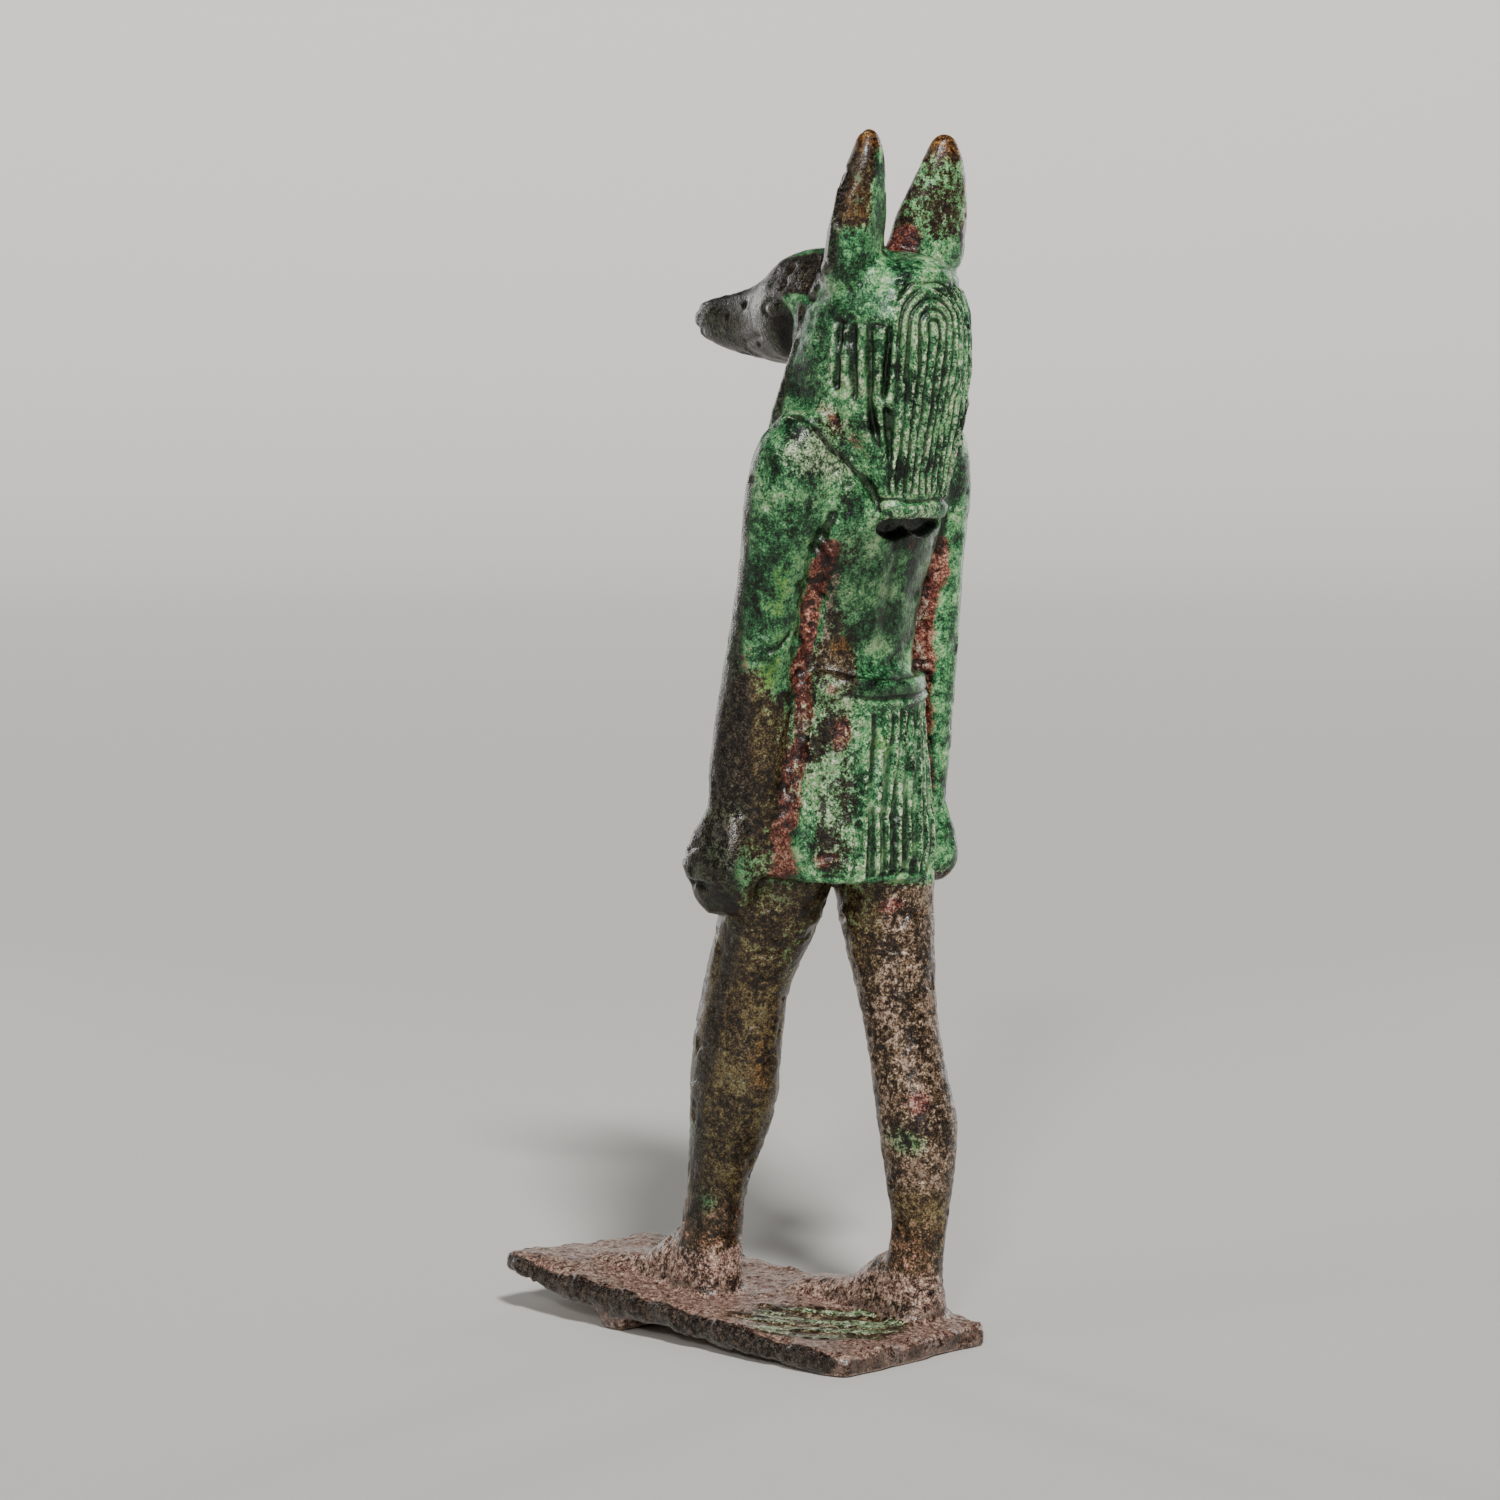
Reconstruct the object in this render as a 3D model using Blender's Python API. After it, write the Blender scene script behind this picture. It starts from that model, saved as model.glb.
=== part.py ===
"""Striding jackal-headed figure: a small solid bronze, cast in one piece with its thin base plate.

The figure faces -Y, its left side is +X and +Z is up. It is modelled upright on its plate, as a
caster builds a wax from rolls and pads, then the whole casting is leaned back on the lug that is
left under the front of the plate, and ground flat where it meets the table.
"""

import math

import bmesh
import bpy
import numpy as np
from mathutils import Matrix, Vector

# Driving sizes, in metres and degrees.
FIGURE_HEIGHT = 0.1176
STRIDE = 0.0197
ARM_SWING = 0.0019
PLATE_THICKNESS = 0.0025
PLATE_FRONT_MARGIN = 0.0061
PLATE_BACK_MARGIN = 0.0036
PLATE_LEFT_MARGIN = 0.0060
PLATE_RIGHT_MARGIN = 0.0016
PLATE_ROUGHNESS = 0.0005
LEAN_DEG = 4.2
LUG_LENGTH = 0.0085
LUG_WIDTH = 0.0050
LUG_FROM_FRONT = 0.0150
LUG_FROM_SIDE = 0.0010
GROUND_OFF = 0.00025

# The figure is drawn in parts: one part is a millimetre on the real bronze.
FIGURE_PARTS = 117.6
PART = FIGURE_HEIGHT / FIGURE_PARTS
HALF_STRIDE = STRIDE / 2 / PART
SWING = ARM_SWING / PART

# Heights above the soles, in parts.
HEM_Z = 44.1
WAIST_Z = 65.7
BELT_Z = 63.3
ARMPIT_Z = 78.6
SHOULDER_Z = 89.9
WIG_HEM_Z = 79.6
WIG_BAND_Z = 103.9
MUZZLE_Z = 99.7

# Where the feet stand, in parts to the left of the middle.
LEFT_FOOT_X = 5.0
RIGHT_FOOT_X = -4.2
FOOT_LENGTH = 18.6
FOOT_HALF_WIDTH = 3.1

# Carving, in parts: how deep it goes and how it is spaced.
PLEATS = 36
PLEAT_DEPTH = 0.30
STRAND_SPACING = 1.5
STRAND_DEPTH = 0.34
ARCH_Z = 98.3
WIG_CENTRE_Y = 2.0
WIG_RADIUS = 9.2

# Mesh settings: the wax is fused from voxels, smoothed, carved and thinned out.
VOXEL = 0.34
SMOOTH_ROUNDS = 3
MOST_TRIANGLES = 9600
SIDES = 28
RINGS_PER_PART = 1.2


def eased(t, knots, values):
    """A smooth curve through the values at the knots, flat-ended like a bent batten."""
    knots = np.asarray(knots, float)
    values = np.asarray(values, float)
    slopes = np.gradient(values, knots)
    t = np.clip(t, knots[0], knots[-1])
    i = np.clip(np.searchsorted(knots, t) - 1, 0, len(knots) - 2)
    gap = knots[i + 1] - knots[i]
    s = (t - knots[i]) / gap
    return (
        (2 * s**3 - 3 * s**2 + 1) * values[i]
        + (s**3 - 2 * s**2 + s) * gap * slopes[i]
        + (3 * s**2 - 2 * s**3) * values[i + 1]
        + (s**3 - s**2) * gap * slopes[i + 1]
    )


def roll(wax, along, stations, turn_deg=0.0, mirrored=False, floor=None):
    """Adds a closed roll of wax to the bmesh.

    Each station is (place along the axis, centre u, centre v, half-width u, half-width v, squareness).
    Along "Z" u is X and v is Y; along "Y" u is X and v is Z. Squareness 2 is an ellipse.
    A floor flattens what would reach below it.
    """
    table = np.array(sorted(stations), float)
    knots = table[:, 0]
    count = max(4, int((knots[-1] - knots[0]) * RINGS_PER_PART) + 1)
    places = np.union1d(np.linspace(knots[0], knots[-1], count), knots)
    turn = math.radians(turn_deg)
    side = -1.0 if mirrored else 1.0
    rings = []
    for place in places:
        u0, v0, ru, rv, power = (float(eased(place, knots, table[:, c])) for c in range(1, 6))
        ring = []
        for k in range(SIDES):
            angle = 2 * math.pi * k / SIDES
            across = math.copysign(abs(math.cos(angle)) ** (2 / power), math.cos(angle)) * ru
            deep = math.copysign(abs(math.sin(angle)) ** (2 / power), math.sin(angle)) * rv
            u = u0 + across * math.cos(turn) - deep * math.sin(turn)
            v = v0 + across * math.sin(turn) + deep * math.cos(turn)
            if floor is not None:
                v = max(v, floor)
            point = (u * side, v, place) if along == "Z" else (u * side, place, v)
            ring.append(wax.verts.new(point))
        rings.append(ring)
    for low, high in zip(rings, rings[1:]):
        for k in range(SIDES):
            j = (k + 1) % SIDES
            wax.faces.new((low[k], low[j], high[j], high[k]))
    wax.faces.new(rings[0])
    wax.faces.new(rings[-1])


def pair(wax, along, stations, turn_deg=0.0):
    """The same roll on the left and, mirrored, on the right."""
    roll(wax, along, stations, turn_deg)
    roll(wax, along, stations, turn_deg, mirrored=True)


def legs(wax):
    """The left leg strides forward and the right one trails; both spring from under the kilt."""
    ahead = -HALF_STRIDE
    x = LEFT_FOOT_X
    left = [
        (-1.0, x, ahead - 0.3, 3.3, 3.6, 2.2),
        (6.0, x, ahead - 0.2, 3.0, 3.3, 2.2),
        (10.9, x - 0.1, ahead + 0.2, 2.95, 3.2, 2.1),
        (15.8, x - 0.3, ahead + 1.0, 3.6, 4.1, 2.0),
        (20.1, x - 0.4, ahead + 1.5, 4.1, 4.8, 2.0),
        (25.0, x - 0.5, ahead + 1.5, 4.1, 4.8, 2.1),
        (31.0, x - 0.6, ahead + 2.1, 4.0, 4.5, 2.1),
        (38.6, x - 0.6, ahead + 4.7, 4.7, 5.2, 2.1),
        (47.5, x - 0.6, ahead + 6.8, 5.2, 5.8, 2.1),
    ]
    behind = HALF_STRIDE
    x = RIGHT_FOOT_X
    right = [
        (-1.0, x, behind - 0.5, 3.1, 3.3, 2.2),
        (4.4, x, behind - 0.5, 2.8, 2.9, 2.2),
        (9.2, x, behind - 0.1, 2.7, 2.8, 2.1),
        (14.7, x, behind - 0.6, 3.4, 3.7, 2.0),
        (19.6, x, behind - 1.2, 3.9, 4.2, 2.0),
        (26.1, x, behind - 3.2, 3.7, 3.8, 2.1),
        (31.5, x, behind - 4.8, 3.8, 4.0, 2.1),
        (38.6, x, behind - 6.7, 4.6, 4.8, 2.1),
        (47.5, x, behind - 8.2, 5.1, 5.6, 2.1),
    ]
    roll(wax, "Z", left)
    roll(wax, "Z", right)


def foot(wax, x, heel_y):
    """A long flat Egyptian foot: low heel, sloping instep and a broad, thin toe end."""
    toe_y = heel_y - FOOT_LENGTH
    broad = FOOT_HALF_WIDTH
    roll(
        wax,
        "Y",
        [
            (toe_y, x + 0.1, 0.0, broad * 0.5, 0.6, 2.4),
            (toe_y + 1.0, x + 0.1, 0.0, broad * 0.87, 1.1, 2.6),
            (toe_y + 4.1, x + 0.1, 0.0, broad, 1.6, 2.6),
            (toe_y + 8.1, x, 0.2, broad * 0.92, 2.7, 2.3),
            (toe_y + 11.6, x, 0.8, broad * 0.95, 5.2, 2.0),
            (toe_y + 15.1, x, 0.8, broad, 5.6, 2.0),
            (toe_y + 17.6, x, 0.5, broad * 0.85, 3.6, 2.2),
            (heel_y, x, 0.2, broad * 0.5, 2.0, 2.2),
        ],
        floor=-1.0,
    )


def left_heel():
    return -HALF_STRIDE + 3.2


def right_heel():
    return HALF_STRIDE + 2.9


def kilt(wax):
    """The short pleated kilt flares from the belt to a clean hem with the thighs emerging below."""
    roll(
        wax,
        "Z",
        [
            (HEM_Z, 0.0, -0.5, 10.0, 8.7, 2.3),
            (HEM_Z + 0.9, 0.0, -0.5, 10.3, 8.9, 2.3),
            (53.4, 0.0, -0.3, 9.5, 8.1, 2.3),
            (60.3, 0.0, -0.1, 8.5, 7.0, 2.2),
            (BELT_Z + 1.0, 0.0, 0.0, 7.9, 6.4, 2.2),
        ],
    )
    roll(
        wax,
        "Z",
        [
            (BELT_Z - 1.3, 0.0, 0.0, 8.3, 6.9, 2.2),
            (BELT_Z - 0.9, 0.0, 0.0, 8.55, 7.15, 2.2),
            (BELT_Z + 0.9, 0.0, 0.0, 8.15, 6.75, 2.2),
            (BELT_Z + 1.3, 0.0, 0.0, 7.8, 6.4, 2.2),
        ],
    )


def torso(wax):
    """Narrow waist, high chest, and square shoulders that slope up to the neck."""
    roll(
        wax,
        "Z",
        [
            (HEM_Z + 6.0, 0.0, 0.0, 7.6, 5.8, 2.1),
            (WAIST_Z, 0.0, 0.1, 7.0, 4.9, 2.1),
            (72.6, 0.0, 0.1, 7.8, 5.2, 2.2),
            (ARMPIT_Z, 0.0, 0.1, 9.8, 5.8, 2.4),
            (84.0, 0.0, 0.1, 10.4, 5.8, 2.4),
            (87.9, 0.0, 0.3, 9.4, 5.2, 2.3),
            (91.4, 0.0, 0.6, 6.8, 5.0, 2.2),
            (94.8, 0.0, 1.0, 5.0, 4.8, 2.0),
        ],
    )


def arm(wax, swing, mirrored):
    """A straight arm that hangs at the side, with a clenched fist round a short baton stub."""
    shoulder_z, wrist_z = SHOULDER_Z, 50.5

    def reach(z):
        return swing * (shoulder_z - z) / (shoulder_z - wrist_z)

    upper = [
        (shoulder_z + 0.2, 9.2, 0.5, 1.7, 1.9, 2.0),
        (87.7, 9.8, 0.3, 3.4, 3.4, 2.1),
        (83.5, 10.5, 0.0, 3.8, 3.8, 2.1),
        (75.1, 10.8, -0.4, 3.3, 3.4, 2.1),
        (67.7, 11.2, -0.9, 3.0, 3.3, 2.1),
        (60.3, 11.5, -1.5, 3.0, 3.2, 2.1),
        (54.4, 11.9, -1.8, 2.6, 2.95, 2.1),
        (wrist_z, 12.2, -1.9, 2.2, 2.5, 2.1),
        (47.5, 12.5, -2.0, 2.4, 3.2, 2.2),
    ]
    roll(wax, "Z", [(z, x, y + reach(z), ru, rv, p) for z, x, y, ru, rv, p in upper], mirrored=mirrored)
    fist_y = -2.1 + reach(wrist_z)
    roll(
        wax,
        "Z",
        [
            (42.8, 12.8, fist_y, 2.3, 2.9, 2.3),
            (43.6, 12.8, fist_y - 0.1, 2.9, 3.8, 2.4),
            (45.5, 12.8, fist_y - 0.2, 3.1, 4.1, 2.4),
            (48.1, 12.6, fist_y, 2.7, 3.5, 2.2),
            (50.0, 12.4, fist_y + 0.1, 2.2, 2.6, 2.1),
        ],
        mirrored=mirrored,
    )
    baton_end = 42.2 if mirrored else 40.0
    roll(
        wax,
        "Z",
        [
            (baton_end, 12.6, fist_y + 0.7, 1.7, 1.9, 2.4),
            (baton_end + 0.8, 12.7, fist_y + 0.5, 2.2, 2.6, 2.4),
            (44.5, 12.8, fist_y, 2.5, 3.2, 2.4),
        ],
        mirrored=mirrored,
    )


def arm_webs(wax):
    """Metal left between the arms and the body, set back from the back of the figure."""
    pair(
        wax,
        "Z",
        [
            (44.5, 9.5, -1.2, 2.6, 1.6, 3.0),
            (53.4, 9.6, -1.2, 3.0, 1.8, 3.0),
            (63.3, 9.3, -0.9, 3.2, 1.7, 3.0),
            (71.2, 9.2, -0.6, 2.8, 1.6, 3.0),
            (ARMPIT_Z + 1.0, 9.8, -0.2, 2.0, 1.6, 3.0),
        ],
    )


def wig(wax):
    """The heavy wig: a rounded crown, a back panel that ends between the shoulder blades, and
    two lappets that come forward over the chest."""
    roll(
        wax,
        "Z",
        [
            (86.9, 0.0, 3.2, 7.2, 5.7, 2.5),
            (89.9, 0.0, 2.3, 8.5, 7.1, 2.4),
            (93.8, 0.0, 1.9, 8.9, 8.6, 2.2),
            (98.4, 0.0, 2.2, 8.4, 8.5, 2.1),
            (101.3, 0.0, 2.3, 7.7, 7.8, 2.1),
            (103.7, 0.0, 2.3, 6.4, 6.5, 2.1),
            (105.2, 0.0, 2.2, 4.4, 5.0, 2.0),
            (105.8, 0.0, 2.0, 2.0, 2.6, 2.0),
        ],
    )
    roll(
        wax,
        "Z",
        [
            (WIG_HEM_Z, 0.0, 5.2, 4.3, 3.2, 3.0),
            (WIG_HEM_Z + 1.2, 0.0, 5.2, 4.7, 3.5, 3.0),
            (83.5, 0.0, 5.1, 5.4, 3.9, 3.0),
            (87.4, 0.0, 5.0, 6.6, 4.4, 2.8),
            (91.4, 0.0, 4.1, 7.8, 5.9, 2.5),
            (93.8, 0.0, 3.5, 7.6, 6.0, 2.2),
        ],
    )
    pair(
        wax,
        "Z",
        [
            (76.6, 4.5, -5.0, 2.1, 1.6, 3.0),
            (77.4, 4.5, -5.1, 2.6, 2.0, 3.0),
            (83.0, 4.9, -5.1, 2.9, 2.2, 3.0),
            (88.4, 5.4, -3.9, 3.0, 2.6, 2.6),
            (92.9, 5.4, -1.7, 2.9, 3.5, 2.4),
            (96.8, 5.3, -0.1, 2.5, 3.4, 2.2),
        ],
    )


def head(wax):
    """The jackal's head: a domed brow, a stop at the eyes, and a long muzzle with a blunt nose."""
    roll(
        wax,
        "Y",
        [
            (-23.2, 0.0, MUZZLE_Z - 1.9, 0.9, 1.0, 2.0),
            (-22.5, 0.0, MUZZLE_Z - 1.9, 1.6, 1.8, 2.1),
            (-21.0, 0.0, MUZZLE_Z - 2.0, 2.0, 2.3, 2.2),
            (-17.8, 0.0, MUZZLE_Z - 2.0, 2.4, 3.1, 2.2),
            (-14.6, 0.0, MUZZLE_Z - 1.7, 3.0, 3.8, 2.1),
            (-12.3, 0.0, MUZZLE_Z - 1.2, 3.9, 4.6, 2.1),
            (-10.2, 0.0, MUZZLE_Z - 0.4, 5.0, 5.5, 2.1),
            (-7.0, 0.0, MUZZLE_Z - 0.1, 5.8, 6.1, 2.1),
            (-2.0, 0.0, MUZZLE_Z + 0.0, 6.6, 6.2, 2.1),
            (3.0, 0.0, MUZZLE_Z + 0.0, 6.0, 5.8, 2.0),
        ],
    )


def ears(wax):
    """Tall leaf-shaped ears, turned outwards, that rise from the top corners of the head."""
    pair(
        wax,
        "Z",
        [
            (100.8, 5.0, 1.3, 3.0, 2.3, 2.0),
            (104.2, 5.2, 1.8, 4.1, 2.6, 2.0),
            (107.6, 5.4, 2.3, 4.3, 2.5, 2.0),
            (112.1, 5.6, 3.0, 3.2, 2.1, 2.0),
            (115.3, 5.6, 3.4, 2.0, 1.5, 2.0),
            (117.1, 5.6, 3.4, 1.1, 0.9, 2.0),
            (FIGURE_PARTS, 5.6, 3.4, 0.5, 0.4, 2.0),
        ],
        turn_deg=20.0,
    )


def ear_hollows():
    """The scooped front of each ear, as a pair of cutters."""
    hollow = bmesh.new()
    pair(
        hollow,
        "Z",
        [
            (104.2, 4.6, -1.4, 1.0, 1.0, 2.0),
            (105.7, 4.6, -0.9, 2.2, 2.0, 2.0),
            (109.1, 4.7, 0.2, 2.3, 1.9, 2.0),
            (113.1, 5.0, 1.2, 1.4, 1.4, 2.0),
            (115.7, 5.2, 1.9, 0.4, 0.6, 2.0),
        ],
        turn_deg=20.0,
    )
    return mesh_object("ear_hollows", hollow)


def plate_edges():
    """The plate's front, back, right and left edges, in parts, worked out from the feet on it."""
    front = left_heel() - FOOT_LENGTH - PLATE_FRONT_MARGIN / PART
    back = right_heel() + PLATE_BACK_MARGIN / PART
    right = RIGHT_FOOT_X - FOOT_HALF_WIDTH - PLATE_RIGHT_MARGIN / PART
    left = LEFT_FOOT_X + FOOT_HALF_WIDTH + PLATE_LEFT_MARGIN / PART
    return front, back, right, left


def plate(wax):
    """A thin cast plate with ragged edges; its front left corner is turned up a little."""
    front, back, right, left = plate_edges()
    thickness = PLATE_THICKNESS / PART
    ragged = PLATE_ROUGHNESS / PART
    middle_x, half_width = (left + right) / 2, (left - right) / 2
    middle_y, half_length = (back + front) / 2, (back - front) / 2
    steps = 72
    layers = ((0.0, -0.35), (-0.3, 0.0), (-0.75, 0.0), (-1.0, -0.5))
    loops = []
    for depth, inset in layers:
        loop = []
        for k in range(steps):
            angle = 2 * math.pi * (k + 0.5) / steps
            c, s = math.cos(angle), math.sin(angle)
            reach = 1.0 / max(abs(c), abs(s))
            wave = math.sin(5 * angle + 0.7) + 0.8 * math.sin(11 * angle + 2.1) + 0.6 * math.sin(23 * angle)
            out = inset + wave * ragged * 0.4
            x = middle_x + c * reach * half_width + math.copysign(min(abs(c), 0.7), c) * out
            y = middle_y + s * reach * half_length + math.copysign(min(abs(s), 0.7), s) * out
            to_left, to_front = max(0.0, c * reach), max(0.0, -s * reach)
            corner_lift = 0.8 * to_left * to_front**4
            loop.append(wax.verts.new((x, y, depth * thickness + corner_lift)))
        loops.append(loop)
    for high, low in zip(loops, loops[1:]):
        for k in range(steps):
            j = (k + 1) % steps
            wax.faces.new((high[k], high[j], low[j], low[k]))
    for loop, depth in ((loops[0], 0.0), (loops[-1], -thickness)):
        hub = wax.verts.new((middle_x, middle_y, depth))
        for k in range(steps):
            wax.faces.new((loop[k], loop[(k + 1) % steps], hub))


def lug(wax):
    """The broken casting lug under the front left of the plate. It props the plate up in front."""
    front, back, _, left = plate_edges()
    thickness = PLATE_THICKNESS / PART
    half_x = LUG_LENGTH / PART / 2
    half_y = LUG_WIDTH / PART / 2
    centre_x = left - LUG_FROM_SIDE / PART - half_x
    centre_y = front + LUG_FROM_FRONT / PART
    drop = (back - centre_y + half_y) * math.tan(math.radians(LEAN_DEG))
    roll(
        wax,
        "Z",
        [
            (-thickness - drop, centre_x, centre_y, half_x * 0.86, half_y * 0.86, 3.0),
            (-thickness - drop * 0.4, centre_x, centre_y, half_x, half_y, 3.0),
            (-thickness * 0.5, centre_x, centre_y, half_x * 1.05, half_y * 1.15, 3.0),
        ],
    )


def mesh_object(name, shape):
    """Closes the bmesh into an object whose faces point out."""
    bmesh.ops.recalc_face_normals(shape, faces=shape.faces)
    mesh = bpy.data.meshes.new(name)
    shape.to_mesh(mesh)
    shape.free()
    made = bpy.data.objects.new(name, mesh)
    bpy.context.scene.collection.objects.link(made)
    return made


def settle(made):
    """Replaces the object's mesh with the one its modifiers give."""
    graph = bpy.context.evaluated_depsgraph_get()
    mesh = bpy.data.meshes.new_from_object(made.evaluated_get(graph))
    made.modifiers.clear()
    made.data = mesh


def fuse(made, voxel):
    """Melts overlapping rolls into one skin."""
    remesh = made.modifiers.new("Fuse", "REMESH")
    remesh.mode = "VOXEL"
    remesh.voxel_size = voxel
    settle(made)


def fade(value, low, high):
    """0 below low, 1 above high, smooth between."""
    s = np.clip((value - low) / (high - low), 0.0, 1.0)
    return s * s * (3 - 2 * s)


def ridge_wave(phase):
    """Rounded ridges with narrow grooves between them: 0 on a ridge, 1 at the bottom of a groove."""
    return (0.5 - 0.5 * np.cos(2 * math.pi * phase)) ** 2.2


def pleat_depth(x, y, z):
    """How deep the kilt's pleats are cut. They fade towards the belt and the front apron."""
    angle = np.arctan2(x, y + 0.4)
    on_kilt = fade(z, HEM_Z - 0.2, HEM_Z + 0.5) * (1 - fade(z, BELT_Z - 3.2, BELT_Z - 1.6))
    inside_arms = 1 - fade(np.abs(x), 9.4, 10.4)
    away_from_apron = fade(y, -6.5, -5.0)
    return PLEAT_DEPTH * ridge_wave(angle / (2 * math.pi) * PLEATS) * on_kilt * inside_arms * away_from_apron


def strand_depth(x, y, z):
    """How deep the wig's strands are cut. They hang straight and arch over the back of the crown."""
    angle = np.arctan2(x, y - WIG_CENTRE_Y)
    across = angle * WIG_RADIUS
    above = np.maximum(z - ARCH_Z, 0.0)
    phase = np.hypot(across, above * 1.3) / STRAND_SPACING
    radius = np.hypot(x, y - WIG_CENTRE_Y)
    on_wig = (1 - fade(z, WIG_BAND_Z - 0.8, WIG_BAND_Z)) * fade(z, WIG_HEM_Z + 1.4, WIG_HEM_Z + 2.0)
    behind_face = fade(y, -3.5, -2.0)
    outside = fade(radius, 5.0, 6.0)
    above_shoulder = fade(z - 87.4 + 2.2 * (y - 3.6), 0.0, 1.5)
    return STRAND_DEPTH * ridge_wave(phase) * on_wig * behind_face * outside * above_shoulder


def carve(made):
    """Cuts pleats and strands into the fused wax, along its normals."""
    mesh = made.data
    points = np.empty(len(mesh.vertices) * 3, np.float32)
    normals = np.empty_like(points)
    mesh.vertices.foreach_get("co", points)
    mesh.vertex_normals.foreach_get("vector", normals)
    points = points.reshape(-1, 3)
    x, y, z = points.T
    depth = pleat_depth(x, y, z) + strand_depth(x, y, z)
    points -= normals.reshape(-1, 3) * depth[:, None]
    mesh.vertices.foreach_set("co", points.ravel())
    mesh.update()


def scoop(made, cutter):
    """Cuts the ear hollows."""
    cut = made.modifiers.new("Scoop", "BOOLEAN")
    cut.operation = "DIFFERENCE"
    cut.solver = "EXACT"
    cut.object = cutter
    settle(made)
    bpy.data.objects.remove(cutter)


def thin_out(made):
    """Fewer triangles where the form is plain, as many as the budget allows where it is carved."""
    triangles = sum(len(face.vertices) - 2 for face in made.data.polygons)
    decimate = made.modifiers.new("ThinOut", "DECIMATE")
    decimate.ratio = min(1.0, MOST_TRIANGLES / triangles)
    decimate.use_collapse_triangulate = True
    settle(made)


def lean_and_grind(made):
    """Leans the casting back on its lug, grinds the feet of lug and plate flat, and centres it."""
    _, back, _, _ = plate_edges()
    shape = bmesh.new()
    shape.from_mesh(made.data)
    heel = Vector((0.0, back * PART, -PLATE_THICKNESS))
    turn = Matrix.Rotation(math.radians(-LEAN_DEG), 4, "X")
    scale = Matrix.Scale(PART, 4)
    shape.transform(turn @ Matrix.Translation(-heel) @ scale)
    bmesh.ops.bisect_plane(
        shape,
        geom=[*shape.verts, *shape.edges, *shape.faces],
        plane_co=(0.0, 0.0, GROUND_OFF),
        plane_no=(0.0, 0.0, -1.0),
        clear_outer=True,
        dist=1e-6,
    )
    rims = [edge for edge in shape.edges if edge.is_boundary]
    bmesh.ops.holes_fill(shape, edges=rims, sides=0)
    bmesh.ops.dissolve_degenerate(shape, edges=shape.edges, dist=2e-5)
    bmesh.ops.triangulate(shape, faces=shape.faces)
    corners = np.array([vert.co for vert in shape.verts])
    low, high = corners.min(0), corners.max(0)
    centre = Vector(((low[0] + high[0]) / 2, (low[1] + high[1]) / 2, low[2]))
    shape.transform(Matrix.Translation(-centre))
    shape.to_mesh(made.data)
    shape.free()


def bronze():
    """Old bronze under a green patina."""
    metal = bpy.data.materials.new("patinated_bronze")
    metal.use_nodes = True
    shader = metal.node_tree.nodes["Principled BSDF"]
    shader.inputs["Base Color"].default_value = (0.07, 0.11, 0.06, 1.0)
    shader.inputs["Metallic"].default_value = 0.6
    shader.inputs["Roughness"].default_value = 0.5
    return metal


def main():
    for old in list(bpy.data.objects):
        bpy.data.objects.remove(old)
    wax = bmesh.new()
    for build in (legs, kilt, torso, arm_webs, wig, head, ears, plate, lug):
        build(wax)
    foot(wax, LEFT_FOOT_X, left_heel())
    foot(wax, RIGHT_FOOT_X, right_heel())
    arm(wax, -SWING, mirrored=False)
    arm(wax, SWING, mirrored=True)
    figure = mesh_object("anubis_figure", wax)
    fuse(figure, VOXEL)
    scoop(figure, ear_hollows())
    fuse(figure, VOXEL)
    smooth = figure.modifiers.new("Soften", "SMOOTH")
    smooth.factor = 0.5
    smooth.iterations = SMOOTH_ROUNDS
    settle(figure)
    carve(figure)
    thin_out(figure)
    lean_and_grind(figure)
    figure.data.materials.append(bronze())
    figure.data.shade_smooth()


main()
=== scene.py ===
# %% [markdown]
# # A striding jackal-headed figure in old bronze
# The real thing is a small solid casting, about 12 cm tall. Its maker shaped a wax, with a pleated
# kilt, a striped wig and a thin plate under the feet, and cast it in one pour. Centuries in the
# ground then turned the skin green, brown and red. This lesson starts from the plain solid, carves
# the finer relief into a copy of it, and grows the patina over it with noise.

import math

import bmesh
import bpy
import numpy as np
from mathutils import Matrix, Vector


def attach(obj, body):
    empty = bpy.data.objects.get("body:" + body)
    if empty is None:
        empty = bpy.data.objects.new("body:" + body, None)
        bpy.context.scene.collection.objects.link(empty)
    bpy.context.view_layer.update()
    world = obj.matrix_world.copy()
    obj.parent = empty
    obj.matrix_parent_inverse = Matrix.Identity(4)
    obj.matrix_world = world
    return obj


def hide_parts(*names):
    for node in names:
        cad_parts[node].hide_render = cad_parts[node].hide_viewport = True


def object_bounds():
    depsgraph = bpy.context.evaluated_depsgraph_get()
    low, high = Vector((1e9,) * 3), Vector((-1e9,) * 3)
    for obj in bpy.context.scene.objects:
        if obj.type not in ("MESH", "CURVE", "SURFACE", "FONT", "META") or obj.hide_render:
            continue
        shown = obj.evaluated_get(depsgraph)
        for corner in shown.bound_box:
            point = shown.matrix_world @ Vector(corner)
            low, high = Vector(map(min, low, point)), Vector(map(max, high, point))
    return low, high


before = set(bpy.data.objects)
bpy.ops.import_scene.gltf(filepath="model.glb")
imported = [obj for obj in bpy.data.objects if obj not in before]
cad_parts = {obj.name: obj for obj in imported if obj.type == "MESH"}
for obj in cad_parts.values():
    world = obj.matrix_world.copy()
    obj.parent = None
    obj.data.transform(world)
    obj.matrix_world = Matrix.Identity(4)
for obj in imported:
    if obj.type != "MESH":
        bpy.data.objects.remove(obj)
cad_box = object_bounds()
MM = 0.001
print("the solid's box, in mm:", [[round(c / MM, 1) for c in corner] for corner in cad_box])

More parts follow.
